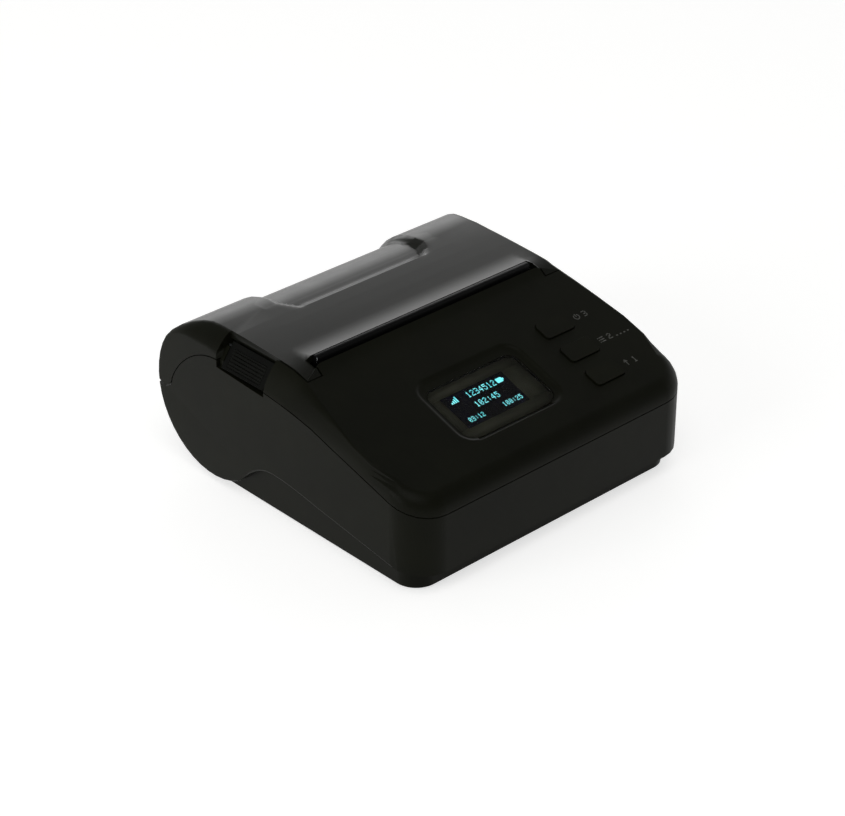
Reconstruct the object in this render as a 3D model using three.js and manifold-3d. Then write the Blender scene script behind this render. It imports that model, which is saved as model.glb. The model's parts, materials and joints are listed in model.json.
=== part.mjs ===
// Portable receipt printer for rolls of 80 mm paper, with a hinged paper cover.
// Millimetres, +Z up. The origin is the middle of the footprint, on the table.
// The user stands at -Y and looks along +Y, so +X is the user's right.

import * as THREE from 'three';
import { mergeVertices } from 'three/addons/utils/BufferGeometryUtils.js';
import Module from 'manifold-3d';

const wasm = await Module();
wasm.setup();

// Casing
const width = 108;
const depth = 110;
const wall = 2.2;
const seam = 0.35;
const fit = 0.3;
const planCorner = 10.9;
const deckKeyHeight = 32.71;
const deckKeyInset = 9.24;
const deckBackHeight = 47.23;
const deckFillet = 4.2;
const drumRadius = 23.5;
const drumClearance = 2.1;
const drumSwellHeight = 0.5;
const crownRadius = 442;
const overrun = 6;

const halfWidth = width / 2;
const frontY = -depth / 2;
const backY = depth / 2;
const drumY = backY - drumRadius;
const drumZ = drumClearance + drumRadius;
const crestZ = drumZ + drumRadius;
const far = width;

// Slot that the paper leaves by, with the ears beside it. Places along the depth are told from the
// drum's middle or from the front, so each group stays together when the casing's size changes.
const slot = { lipReach: 34.1, coverReach: 30.3, earReach: 36.8, sideInset: 11.3 };
slot.lip = drumY - slot.lipReach;
slot.coverEdge = drumY - slot.coverReach;
slot.earEdge = drumY - slot.earReach;
slot.halfLength = halfWidth - slot.sideInset;

// The deck slopes from the slot down past a height that leaves room for the keys above the board
const deckRiseShare = (deckBackHeight - deckKeyHeight) / (slot.lip - frontY - deckKeyInset);
const deckFrontHeight = deckKeyHeight - deckRiseShare * deckKeyInset;
const deckPitch = Math.atan(deckRiseShare);

// Seam between the tub and the parts above it, as the side of the casing shows it
const sideSeam = {
  frontHeight: 22.8, bendReach: 50.5, riseReach: 31.5, rearHeight: 39, rearRiseShare: 0.1,
  arcReach: 5.5, arcLead: 9, arcTilt: 24, hookAngle: 183,
};
sideSeam.bendFrom = drumY - sideSeam.bendReach;
sideSeam.bendTo = drumY - sideSeam.riseReach;
sideSeam.arcFrom = drumY - sideSeam.arcReach;
const hinge = {
  inset: 2.8, height: 27.3, sweepRadius: 4, barrel: 2.65, knuckle: 2.7, pin: 0.9,
  sideInset: 12, knuckleLength: 8, barrelLength: 5.6, neckDrop: 6,
};
const hingeY = backY - hinge.inset;
hinge.knuckleTo = halfWidth - hinge.sideInset;
hinge.knuckleFrom = hinge.knuckleTo - hinge.knuckleLength;

// Bevel along the top edges, widest beside the paper slot
const bevel = {
  reach: 5.8, drop: 8.3, crestDrop: 5, sideFillet: 1.5, widenReach: 25.4, boxyShare: 1.3, roundShare: 2,
  drumRound: 0.6, fadeFrom: 84, fadeTo: 36, leastShare: 0.131,
};
bevel.widenFrom = slot.lip - bevel.widenReach;

// Raised lip behind the slot and the sunk panel behind that
const raisedLip = { rise: 1.2, reach: 22.5, sideInset: 1.1, flank: 2.2 };
raisedLip.from = drumY - raisedLip.reach;
raisedLip.halfLength = slot.halfLength - raisedLip.sideInset;
const panel = {
  depth: 1.7, reach: 7.1, frontHalf: 24.8, backHalf: 28.5, flank: 3, fadeAngle: 28, endAngle: 8,
};
panel.frontY = drumY - panel.reach;

// Plinth and the arch of the side ledges above it
const plinth = {
  sideInset: 3.2, frontInset: 4.3, foot: 0.7, floor: 2.6, cornerFront: 7, cornerBack: 3, backReach: 0.5,
};
plinth.backY = drumY - plinth.backReach;
const arch = {
  frontHeight: 6.5, bendReach: 52, bendHeight: 11.3, topReach: 27, topHeight: 14.35, endReach: 11.6,
  fallOutShare: 0.39, fallInShare: 0.32, fallDropShare: 0.53,
};
arch.bendY = drumY - arch.bendReach;
arch.topY = drumY - arch.topReach;
arch.endY = drumY - arch.endReach;
const plinthHalf = halfWidth - plinth.sideInset;
const plinthFrontY = frontY + plinth.frontInset;
const floorTop = plinth.foot + plinth.floor;
const archEnd = drumZ - Math.sqrt(drumRadius ** 2 - arch.endReach ** 2);

const steps = { corner: 6, ring: 5, drum: 24, round: 24, small: 12, fillet: 3 };

function solid(geometry) {
  const bare = geometry.clone();
  bare.deleteAttribute('normal');
  bare.deleteAttribute('uv');
  const merged = mergeVertices(bare);
  return new wasm.Manifold(new wasm.Mesh({
    numProp: 3,
    vertProperties: merged.attributes.position.array,
    triVerts: new Uint32Array(merged.index.array),
  }));
}

function toGeometry(body) {
  const mesh = body.getMesh();
  const geometry = new THREE.BufferGeometry();
  geometry.setAttribute('position', new THREE.BufferAttribute(mesh.vertProperties, 3));
  geometry.setIndex(new THREE.BufferAttribute(mesh.triVerts, 1));
  geometry.computeVertexNormals();
  return geometry;
}

function both(side, near, reach) {
  return [side * near, side * reach].sort((a, b) => a - b);
}

function wider([low, high], gap) {
  return [low - gap, high + gap];
}

function unite(parts) {
  return parts.reduce((sum, part) => sum.add(part));
}

function block(x0, x1, y0, y1, z0, z1) {
  const geometry = new THREE.BoxGeometry(x1 - x0, y1 - y0, z1 - z0);
  return solid(geometry.translate((x0 + x1) / 2, (y0 + y1) / 2, (z0 + z1) / 2));
}

function shapeOf(points) {
  return new THREE.Shape(points.map(([a, b]) => new THREE.Vector2(a, b)));
}

// A side outline of y, z points carried along X
function sidePrism(points, x0, x1) {
  const shape = points instanceof THREE.Shape ? points : shapeOf(points);
  const settings = { depth: x1 - x0, bevelEnabled: false, curveSegments: steps.corner };
  const geometry = new THREE.ExtrudeGeometry(shape, settings);
  const turn = new THREE.Matrix4().set(0, 0, 1, x0, 1, 0, 0, 0, 0, 1, 0, 0, 0, 0, 0, 1);
  return solid(geometry.applyMatrix4(turn));
}

// A front outline of x, z points carried along Y
function frontPrism(points, y0, y1) {
  const geometry = new THREE.ExtrudeGeometry(shapeOf(points), { depth: y1 - y0, bevelEnabled: false });
  const turn = new THREE.Matrix4().set(1, 0, 0, 0, 0, 0, -1, y1, 0, 1, 0, 0, 0, 0, 0, 1);
  return solid(geometry.applyMatrix4(turn));
}

// A plan outline carried up along Z
function planPrism(shape, z0, z1) {
  const settings = { depth: z1 - z0, bevelEnabled: false, curveSegments: steps.corner };
  return solid(new THREE.ExtrudeGeometry(shape, settings).translate(0, 0, z0));
}

function rodX(x0, x1, y, z, radius, sides = steps.round) {
  const geometry = new THREE.CylinderGeometry(radius, radius, x1 - x0, sides);
  return solid(geometry.rotateZ(-Math.PI / 2).translate((x0 + x1) / 2, y, z));
}

function rodY(y0, y1, x, z, radius, sides = steps.small) {
  const geometry = new THREE.CylinderGeometry(radius, radius, y1 - y0, sides);
  return solid(geometry.translate(x, (y0 + y1) / 2, z));
}

function rodZ(z0, z1, x, y, radius, sides = steps.small) {
  const geometry = new THREE.CylinderGeometry(radius, radius, z1 - z0, sides);
  return solid(geometry.rotateX(Math.PI / 2).translate(x, y, (z0 + z1) / 2));
}

function roundedRect(x0, x1, y0, y1, r0, r1 = r0) {
  const shape = new THREE.Shape();
  shape.moveTo(x0 + r0, y0);
  shape.lineTo(x1 - r0, y0);
  shape.absarc(x1 - r0, y0 + r0, r0, -Math.PI / 2, 0);
  shape.lineTo(x1, y1 - r1);
  shape.absarc(x1 - r1, y1 - r1, r1, 0, Math.PI / 2);
  shape.lineTo(x0 + r1, y1);
  shape.absarc(x0 + r1, y1 - r1, r1, Math.PI / 2, Math.PI);
  shape.lineTo(x0, y0 + r0);
  shape.absarc(x0 + r0, y0 + r0, r0, Math.PI, 3 * Math.PI / 2);
  return shape;
}

function degrees(angle) {
  return THREE.MathUtils.degToRad(angle);
}

function deckZ(y) {
  return deckFrontHeight + deckRiseShare * (y - frontY);
}

function crownZ(y) {
  return crestZ - (drumY - y) ** 2 / (2 * crownRadius);
}

// Height of the seam on the side walls in front of the drum
function seamZ(y) {
  const s = sideSeam;
  if (y <= s.bendFrom) return s.frontHeight + deckRiseShare * (y - frontY);
  if (y >= s.bendTo) return s.rearHeight + s.rearRiseShare * (y - s.bendTo);
  const bendHeight = s.frontHeight + deckRiseShare * (s.bendFrom - frontY);
  const t = (y - s.bendFrom) / (s.bendTo - s.bendFrom);
  const onDeckSide = bendHeight + deckRiseShare * (y - s.bendFrom) * (1 - t / 2);
  return THREE.MathUtils.lerp(onDeckSide, s.rearHeight + s.rearRiseShare * (y - s.bendTo), t * t);
}

// The seam from the front to the pivot's sweep circle, moved up or in by a gap
function seamLine(gap) {
  const s = sideSeam;
  const points = [[frontY - overrun, seamZ(frontY) + gap], [s.bendFrom, seamZ(s.bendFrom) + gap]];
  for (let i = 1; i <= steps.fillet; i += 1) {
    const y = THREE.MathUtils.lerp(s.bendFrom, s.bendTo, i / steps.fillet);
    points.push([y, seamZ(y) + gap]);
  }
  const radius = hinge.sweepRadius - gap;
  const a = degrees(s.hookAngle);
  const start = new THREE.Vector2(s.arcFrom, seamZ(s.arcFrom) + gap);
  const end = new THREE.Vector2(hingeY + radius * Math.cos(a), hinge.height + radius * Math.sin(a));
  const leadIn = start.clone().add(new THREE.Vector2(s.arcLead, s.arcLead * s.rearRiseShare));
  const tilt = degrees(s.arcTilt);
  const leadOut = new THREE.Vector2(-Math.sin(tilt), Math.cos(tilt)).multiplyScalar(s.arcLead).add(end);
  const arc = new THREE.CubicBezierCurve(start, leadIn, leadOut, end);
  for (const p of arc.getPoints(steps.small)) points.push([p.x, p.y]);
  for (let i = 1; i <= steps.corner; i += 1) {
    const turn = THREE.MathUtils.lerp(a, 3 * Math.PI / 2, i / steps.corner);
    points.push([hingeY + radius * Math.cos(turn), hinge.height + radius * Math.sin(turn)]);
  }
  return points;
}

// Stations round the casing's side outline, from the deck over the drum to its underside.
// inward is the direction of a wall's thickness, reach and drop size the rounding of the edge.
function outlineStations(inset) {
  const stations = [];
  const cornerY = frontY + planCorner;
  const deckSteep = Math.hypot(1, deckRiseShare);
  const slotShare = (y) => THREE.MathUtils.clamp((y - bevel.widenFrom) / (slot.lip - bevel.widenFrom), 0, 1);
  const pace = (from, to, shares) => shares.map((share) => THREE.MathUtils.lerp(from, to, share));
  const deckYs = [
    ...pace(cornerY, sideSeam.bendFrom, [0, 0.32, 0.64]),
    ...pace(sideSeam.bendFrom, slot.earEdge, [0, 0.33, 0.66, 1]),
  ];
  const bend = (crownZ(slot.earEdge) - deckZ(slot.earEdge)) / 2;
  for (const y of deckYs) {
    const share = slotShare(y);
    stations.push({
      y, z: deckZ(y) - inset * deckSteep, inward: [0, -1],
      reach: THREE.MathUtils.lerp(y === cornerY ? deckFillet : bevel.sideFillet, bevel.reach, share),
      drop: Math.max(deckFillet, deckZ(y) - seamZ(y)),
      power: THREE.MathUtils.lerp(bevel.roundShare, bevel.boxyShare, share), lip: 0,
    });
  }
  const crownYs = [
    ...pace(slot.lip, slot.coverEdge, [0, 0.68]),
    ...pace(slot.coverEdge, raisedLip.from, [0, 0.23, 0.49, 0.74]),
    ...pace(raisedLip.from, panel.frontY, [0, 0.32, 0.65]),
    ...pace(panel.frontY, panel.frontY + panel.flank, [0, 0.5, 1]),
  ];
  for (const y of crownYs) {
    const lead = THREE.MathUtils.clamp((y - slot.earEdge) / (raisedLip.from - slot.earEdge), 0, 1);
    const fade = THREE.MathUtils.clamp((y - raisedLip.from) / (drumY - raisedLip.from), 0, 1);
    const lift = THREE.MathUtils.clamp((raisedLip.from - y) / (raisedLip.from - slot.coverEdge), 0, 1);
    stations.push({
      y, z: Math.min(deckZ(y), crownZ(y) - 2 * bend * (1 - lead) ** 4 * lead) - inset, inward: [0, -1],
      reach: bevel.reach, drop: THREE.MathUtils.lerp(bevel.drop, bevel.crestDrop, fade),
      power: bevel.boxyShare,
      lip: raisedLip.rise * lift ** 2,
      sink: THREE.MathUtils.smoothstep(y, panel.frontY, panel.frontY + panel.flank),
    });
  }
  const endAngle = 180 + THREE.MathUtils.radToDeg(Math.atan2(drumZ - archEnd, drumY - arch.endY));
  for (let i = 0; i <= steps.drum; i += 1) {
    const angle = THREE.MathUtils.lerp(90, endAngle - 360, i / steps.drum);
    const a = degrees(angle);
    const over = 1 - THREE.MathUtils.smoothstep(angle, bevel.fadeTo, bevel.fadeFrom);
    const round = drumRadius + (angle > 0 ? drumSwellHeight * Math.sin(2 * a) ** 2 : 0) - inset;
    stations.push({
      y: drumY + round * Math.cos(a), z: drumZ + round * Math.sin(a),
      inward: [-Math.cos(a), -Math.sin(a)], reach: THREE.MathUtils.lerp(bevel.reach, bevel.drumRound, over),
      drop: THREE.MathUtils.lerp(bevel.crestDrop, bevel.drumRound, over),
      power: THREE.MathUtils.lerp(bevel.boxyShare, bevel.roundShare, over), lip: 0,
      sink: 1 - THREE.MathUtils.smoothstep(-angle, panel.endAngle - panel.fadeAngle, panel.endAngle),
    });
  }
  return stations;
}

// How far a rounded or bevelled edge shrinks when the casing is taken in by a wall
function edgeShare(station, inset) {
  const { reach, drop, power } = station;
  const arcShare = (Math.min(reach, drop) - inset) / Math.min(reach, drop);
  const flatShare = 1 + inset * (Math.hypot(1 / reach, 1 / drop) - 1 / reach - 1 / drop);
  const flatness = (bevel.roundShare - power) / (bevel.roundShare - 1);
  return Math.max(THREE.MathUtils.lerp(arcShare, flatShare, flatness), bevel.leastShare);
}

// The casing's closed outer form, or that form taken in by a wall
function envelope(inset) {
  const half = halfWidth - inset;
  const lowZ = -overrun;
  const corner = { x: halfWidth - planCorner, y: frontY + planCorner, r: planCorner - inset };
  const stations = outlineStations(inset);
  const last = stations[stations.length - 1];
  const deckSteep = Math.hypot(1, deckRiseShare);
  const cornerEdge = edgeShare(stations[0], inset) * deckFillet;
  const positions = [];
  const put = (...corners) => {
    for (const p of corners) positions.push(...p);
  };
  const quad = (a, b, c, d) => {
    put(a, b, c);
    put(a, c, d);
  };

  function ring(k) {
    const turn = (Math.PI / 2) * (k / steps.ring);
    const side = (power) => 1 - Math.sin(turn) ** (2 / power);
    const down = (power) => 1 - Math.cos(turn) ** (2 / power);
    const top = [];
    const bottom = [];
    for (let i = 0; i <= steps.corner; i += 1) {
      const a = THREE.MathUtils.lerp(-Math.PI / 2, 0, i / steps.corner);
      const r = corner.r - cornerEdge * side(bevel.roundShare);
      const x = corner.x + r * Math.cos(a);
      const y = corner.y + r * Math.sin(a);
      top.push([x, y, deckZ(y) - inset * deckSteep - cornerEdge * down(bevel.roundShare)]);
      bottom.unshift([x, y, lowZ]);
    }
    const flank = stations.slice(1).map((s) => {
      const share = edgeShare(s, inset);
      const drop = s.drop * share * down(s.power);
      return [half - s.reach * share * side(s.power), s.y + s.inward[0] * drop, s.z + s.inward[1] * drop];
    });
    const cut = cornerEdge * side(bevel.roundShare);
    return [...top, ...flank, [half - cut, arch.topY, lowZ], ...bottom];
  }

  const rings = Array.from({ length: steps.ring + 1 }, (_, k) => ring(k));
  const flip = ([x, y, z]) => [-x, y, z];
  const count = rings[0].length;
  for (let k = 0; k < steps.ring; k += 1) {
    for (let i = 0; i + 1 < count; i += 1) {
      const [a, b, c, d] = [rings[k][i], rings[k + 1][i], rings[k + 1][i + 1], rings[k][i + 1]];
      quad(a, b, c, d);
      quad(flip(a), flip(d), flip(c), flip(b));
    }
    for (const i of [0, count - 1]) {
      const [a, b] = [rings[k][i], rings[k + 1][i]];
      if (i === 0) quad(flip(a), flip(b), b, a);
      else quad(a, b, flip(b), flip(a));
    }
  }

  // The middle of each station, from left to right, with the raised lip and the sunk panel
  function rib(i) {
    const right = rings[0][i];
    const station = stations[i - steps.corner];
    const shown = station && station.sink !== undefined && i > steps.corner;
    if (!shown) return [flip(right), right];
    const spread = THREE.MathUtils.clamp((station.y - panel.frontY) / (drumY - panel.frontY), 0, 1);
    const panelHalf = THREE.MathUtils.lerp(panel.frontHalf, panel.backHalf, spread);
    const columns = [
      [raisedLip.halfLength + raisedLip.flank, 0], [raisedLip.halfLength, station.lip],
      [panelHalf + fit, station.lip],
      [panelHalf - panel.flank / 2, station.lip - panel.depth / 2 * station.sink],
      [panelHalf - panel.flank, station.lip - panel.depth * station.sink],
    ];
    const [towardY, towardZ] = station.inward;
    const bent = columns.map(([x, lift]) => [x, right[1] - towardY * lift, right[2] - towardZ * lift]);
    return [flip(right), ...bent.map(flip), ...bent.slice().reverse(), right];
  }

  function zip(a, b) {
    let i = 0;
    let j = 0;
    while (i + 1 < a.length || j + 1 < b.length) {
      const stepA = i + 1 < a.length && (j + 1 >= b.length || (i + 1) * b.length <= (j + 1) * a.length);
      if (stepA) {
        put(a[i], b[j], a[i + 1]);
        i += 1;
      } else {
        put(a[i], b[j], b[j + 1]);
        j += 1;
      }
    }
  }

  const ribs = rings[0].map((_, i) => rib(i));
  for (let i = 0; i + 1 < count; i += 1) zip(ribs[i + 1], ribs[i]);

  const outer = rings[steps.ring];
  for (let i = 0; i < steps.corner; i += 1) {
    const [a, b] = [outer[i], outer[i + 1]];
    const [c, d] = [outer[count - 2 - i], outer[count - 1 - i]];
    quad(a, d, c, b);
    quad(flip(a), flip(b), flip(c), flip(d));
  }
  quad(flip(outer[0]), flip(outer[count - 1]), outer[count - 1], outer[0]);
  const face = outer.slice(steps.corner, count - steps.corner);
  const flat = face.map(([, y, z]) => new THREE.Vector2(y, z));
  for (const [a, b, c] of THREE.ShapeUtils.triangulateShape(flat, [])) {
    put(face[a], face[b], face[c]);
    put(flip(face[a]), flip(face[c]), flip(face[b]));
  }
  const geometry = new THREE.BufferGeometry();
  geometry.setAttribute('position', new THREE.BufferAttribute(new Float32Array(positions), 3));
  return solid(geometry);
}

// A plan outline on the sloping deck, carried between two heights above its face
function deckPrism(shape, low, high) {
  const settings = { depth: high - low, bevelEnabled: false, curveSegments: steps.fillet };
  const geometry = new THREE.ExtrudeGeometry(shape, settings).translate(0, 0, low);
  return solid(geometry.rotateX(deckPitch).translate(0, frontY, deckFrontHeight));
}

function deckRect(centre, size, low, high, r0 = fit, r1 = r0) {
  const [x, v] = centre;
  const [w, h] = size;
  return deckPrism(roundedRect(x - w / 2, x + w / 2, v - h / 2, v + h / 2, r0, r1), low, high);
}

function deckPoint(x, v, rise) {
  return [x, frontY + v * Math.cos(deckPitch) - rise * Math.sin(deckPitch),
    deckFrontHeight + v * Math.sin(deckPitch) + rise * Math.cos(deckPitch)];
}

const outer = envelope(0);
const inner = envelope(wall);
const skin = outer.subtract(inner);

const root = new THREE.Group();
root.name = 'receipt_printer';

function joinedGroup(name, pivot, parent = root) {
  const group = new THREE.Group();
  group.name = name;
  group.userData.pivot = new THREE.Vector3(...pivot);
  group.position.copy(group.userData.pivot);
  if (parent.userData.pivot) group.position.sub(parent.userData.pivot);
  parent.add(group);
  return group;
}

function add(name, body, look, parent = root) {
  const pivot = parent.userData.pivot || new THREE.Vector3();
  const geometry = toGeometry(body);
  const box = new THREE.Box3().setFromBufferAttribute(geometry.attributes.position);
  const centre = box.getCenter(new THREE.Vector3());
  geometry.translate(-centre.x, -centre.y, -centre.z);
  const mesh = new THREE.Mesh(geometry, new THREE.MeshStandardMaterial(look));
  mesh.name = name;
  mesh.position.copy(centre.sub(pivot));
  parent.add(mesh);
}

function addEach(name, bodies, look, parent = root) {
  bodies.forEach((body, i) => add(`${name}_${i + 1}`, body, look, parent));
}

const looks = {
  casing: { color: 0x17181a, roughness: 0.5, metalness: 0 },
  cover: { color: 0x1c1d20, roughness: 0.48, metalness: 0 },
  lever: { color: 0x222326, roughness: 0.6, metalness: 0 },
  grip: { color: 0x2a2b2e, roughness: 0.8, metalness: 0 },
  key: { color: 0x141517, roughness: 0.55, metalness: 0 },
  glass: { color: 0x0c0e12, roughness: 0.12, metalness: 0 },
  screen: { color: 0x101828, roughness: 0.3, metalness: 0 },
  steel: { color: 0xb4b7bb, roughness: 0.35, metalness: 1 },
  plate: { color: 0x9aa0a6, roughness: 0.45, metalness: 1 },
  alloy: { color: 0xc3c6ca, roughness: 0.5, metalness: 1 },
  rubber: { color: 0x2b2b2d, roughness: 0.9, metalness: 0 },
  nylon: { color: 0xe6e3d8, roughness: 0.5, metalness: 0 },
  ceramic: { color: 0xd8d2c2, roughness: 0.3, metalness: 0 },
  board: { color: 0x1d5a34, roughness: 0.55, metalness: 0 },
  chip: { color: 0x202124, roughness: 0.6, metalness: 0 },
  flex: { color: 0xb9772b, roughness: 0.4, metalness: 0 },
  cell: { color: 0x2f6fa8, roughness: 0.4, metalness: 0 },
  dark: { color: 0x26272a, roughness: 0.7, metalness: 0 },
};

// Regions that share the skin out among the tub, the top shell and the cover
const archPoints = (lift) => {
  const points = [[frontY - overrun, arch.frontHeight + lift], [frontY, arch.frontHeight + lift]];
  const front = new THREE.Vector2(frontY, arch.frontHeight + lift);
  const bend = new THREE.Vector2(arch.bendY, arch.bendHeight + lift);
  const crest = new THREE.Vector2(arch.topY, arch.topHeight + lift);
  const end = new THREE.Vector2(arch.endY, archEnd + lift);
  const third = (a, b) => a.clone().lerp(b, 1 / 3);
  const rise = new THREE.CubicBezierCurve(bend, third(bend, crest), third(crest, bend).setY(crest.y), crest);
  const fallOut = crest.clone().lerp(end, arch.fallOutShare).setY(crest.y);
  const fallIn = end.clone().lerp(crest, arch.fallInShare);
  fallIn.setY(THREE.MathUtils.lerp(end.y, crest.y, arch.fallDropShare));
  const fall = new THREE.CubicBezierCurve(crest, fallOut, fallIn, end);
  points.push([third(front, bend).x, third(front, bend).y]);
  for (const p of rise.getPoints(steps.corner)) points.push([p.x, p.y]);
  for (const p of fall.getPoints(steps.corner).slice(1)) points.push([p.x, p.y]);
  return points;
};
const aboveArch = (lift, reach) => sidePrism([
  ...archPoints(lift), [arch.endY + reach, archEnd + lift], [arch.endY + reach, -2 * overrun],
  [backY + overrun, -2 * overrun], [backY + overrun, far], [frontY - overrun, far],
], -far, far);
const belowSeam = sidePrism([...seamLine(0), [backY + overrun, hinge.height - hinge.sweepRadius],
  [backY + overrun, -far], [frontY - overrun, -far]], -far, far);
const aboveSeam = sidePrism([...seamLine(seam), [backY + overrun, hinge.height - hinge.sweepRadius + seam],
  [backY + overrun, far], [frontY - overrun, far]], -far, far);

const shoulder = { sideInset: 5.4, backReach: 24.5, wall: 1.4 };
shoulder.edge = halfWidth - shoulder.sideInset;
shoulder.backY = drumY - shoulder.backReach;
const earHalf = slot.halfLength + 2 * seam;
const lipHalf = slot.halfLength + seam / 2;
const coverLip = { sideInset: 5.8, backReach: 4.2 };
coverLip.edge = halfWidth - coverLip.sideInset;
coverLip.backY = drumY - coverLip.backReach;
const topPlan = planPrism(shapeOf([
  [-far, -far], [far, -far], [far, slot.earEdge - seam], [lipHalf, slot.earEdge - seam],
  [lipHalf, slot.lip], [-lipHalf, slot.lip], [-lipHalf, slot.earEdge - seam],
  [-shoulder.edge, slot.earEdge - seam], [-shoulder.edge, shoulder.backY], [-far, shoulder.backY],
]), -far, far);
const coverPlan = planPrism(shapeOf([
  [-coverLip.edge, slot.earEdge], [-earHalf, slot.earEdge], [-earHalf, slot.coverEdge],
  [earHalf, slot.coverEdge], [earHalf, slot.earEdge], [far, slot.earEdge], [far, far], [-far, far],
  [-far, coverLip.backY], [-coverLip.edge, coverLip.backY],
]), -far, far);

// Screw posts, screws and feet
const posts = {
  radius: 3, bore: 1.5, top: 14, bossRadius: 2.8, bossBore: 1.25, sideInset: 9.2, earReach: 10.2,
};
const postPlaces = [
  [halfWidth - planCorner, frontY + planCorner], [halfWidth - posts.sideInset, slot.earEdge - posts.earReach],
].flatMap(([x, y]) => [[x, y], [-x, y]]);
const screw = { headRadius: 2.4, headLow: 0.9, headHeight: 1.4, recess: 2.7, shank: 1.2, top: 21 };
const foot = { radius: 3.6, recess: 0.4, sideInset: 8.8, frontInset: 21, backReach: 19.5 };
const footPlaces = [-1, 1].flatMap((side) => [frontY + foot.frontInset, drumY - foot.backReach]
  .map((y) => [side * (halfWidth - foot.sideInset), y]));

// Two cells side by side in their case, with the main board on top
const cell = { radius: 9.15, length: 49.5, gap: 0.1, endRoom: 0.75, topRoom: 0.75, seat: 0.05 };
cell.z = floorTop + fit + cell.seat + cell.radius;
const battery = { sideInset: 14.4, frontInset: 7.4, wall: 0.8, lip: 1.5, boardGap: 0.4 };
battery.x0 = battery.sideInset - halfWidth;
battery.x1 = battery.x0 + cell.length + 2 * (cell.endRoom + battery.wall);
battery.y0 = frontY + battery.frontInset;
battery.y1 = battery.y0 + 4 * cell.radius + 3 * cell.gap + 2 * battery.wall;
battery.top = cell.z + cell.radius + cell.topRoom + battery.wall;
const mainBoard = { leftInset: 6.4, rightInset: 2.8, frontInset: 8, backReach: 43.5, thickness: 1.6 };
mainBoard.x0 = mainBoard.leftInset - halfWidth;
mainBoard.x1 = halfWidth - mainBoard.rightInset;
mainBoard.y0 = frontY + mainBoard.frontInset;
mainBoard.y1 = drumY - mainBoard.backReach;
mainBoard.z = battery.top + battery.boardGap;

// Sockets that hang from the board's right edge
const jack = {
  frontInset: 19, drop: 5.7, width: 9, height: 11, backInset: 15.8, faceInset: 2.5, nose: 4.2, bore: 3.2,
  boreDepth: 9.5, pin: 1,
};
jack.y = frontY + jack.frontInset;
jack.z = mainBoard.z - jack.drop;
jack.x0 = halfWidth - jack.backInset;
jack.x1 = halfWidth - jack.faceInset;
const usb = { frontInset: 31, width: 7.8, height: 3, backInset: 8.8, faceInset: 0.7, shell: 0.5, tongue: 0.7 };
usb.y = frontY + usb.frontInset;
usb.z0 = mainBoard.z - usb.height;
usb.x0 = halfWidth - usb.backInset;
usb.x1 = halfWidth - usb.faceInset;

// Trough for the roll
const rollSpace = { drumGap: 2.7, wall: 1.2, sideInset: 11.5, frontRise: 7.4, backDrop: 5.3 };
rollSpace.outer = drumRadius - rollSpace.drumGap;
rollSpace.outerHalf = halfWidth - rollSpace.sideInset;

// Print mechanism: what stands along the slot follows the slot's length, and the rest the platen
const platen = { reach: 3, z: 40.3, radius: 5, sleeve: 3.1, core: 3, shaft: 1.5, endRoom: 2.5 };
platen.y = slot.coverEdge + platen.reach;
platen.half = slot.halfLength - platen.endRoom;
const bush = { rimFrom: 0.2, rimTo: 2, radius: 3.2, spigot: 2.6, spigotRoom: 0.4, bore: 1.8 };
bush.x0 = slot.halfLength + bush.rimFrom;
bush.x1 = slot.halfLength + bush.rimTo;
bush.spigotFrom = platen.half + bush.spigotRoom;
const gearing = {
  module: 0.8, inFrom: 2.5, inTo: 4.5, slack: 0.25, platenTeeth: 10, idlerTeeth: 22, pinionTeeth: 10,
};
gearing.x0 = slot.halfLength + gearing.inFrom;
gearing.x1 = slot.halfLength + gearing.inTo;
const frame = {
  plateFrom: 0.5, plateTo: 1.8, frontReach: 15.2, backReach: 8.8, top: 41.7, frontTop: 39.5,
  floorHigh: 4.6, slot: 3.6, beamFrontReach: 14.1, beamBackReach: 12.9, beamLow: 30, beamTop: 40.5,
  guideReach: 4.6, guideLow: 29, guideTop: 34,
};
frame.x0 = slot.halfLength + frame.plateFrom;
frame.x1 = slot.halfLength + frame.plateTo;
frame.frontY = platen.y - frame.frontReach;
frame.backY = platen.y + frame.backReach;
frame.beamFront = platen.y - frame.beamFrontReach;
frame.beamBack = platen.y - frame.beamBackReach;
frame.guideY = platen.y + frame.guideReach;
const motor = {
  reach: 3.7, z: 14.7, radius: 9.5, length: 21.9, shaft: 1, tabReach: 12.2, tabAngle: 145, tab: 2.4,
};
motor.y = platen.y - motor.reach;
motor.x1 = frame.x0 - fit;
motor.x0 = motor.x1 - motor.length;
const head = {
  sideRoom: 0.7, backReach: 6.3, low: 33.9, top: 43.4, sinkRoom: 0.9, sinkReach: 9.4, sinkLow: 33,
  stubReach: 7.9, stubZ: 35, stub: 1, stubHole: 1.35, stubOut: 0.1,
};
head.half = platen.half - head.sideRoom;
head.faceY = platen.y - platen.radius - fit;
head.backY = platen.y - head.backReach;
head.sinkHalf = frame.x0 - head.sinkRoom;
head.sinkFront = platen.y - head.sinkReach;
head.stubY = platen.y - head.stubReach;
head.stubEnd = frame.x1 + head.stubOut;

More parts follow.
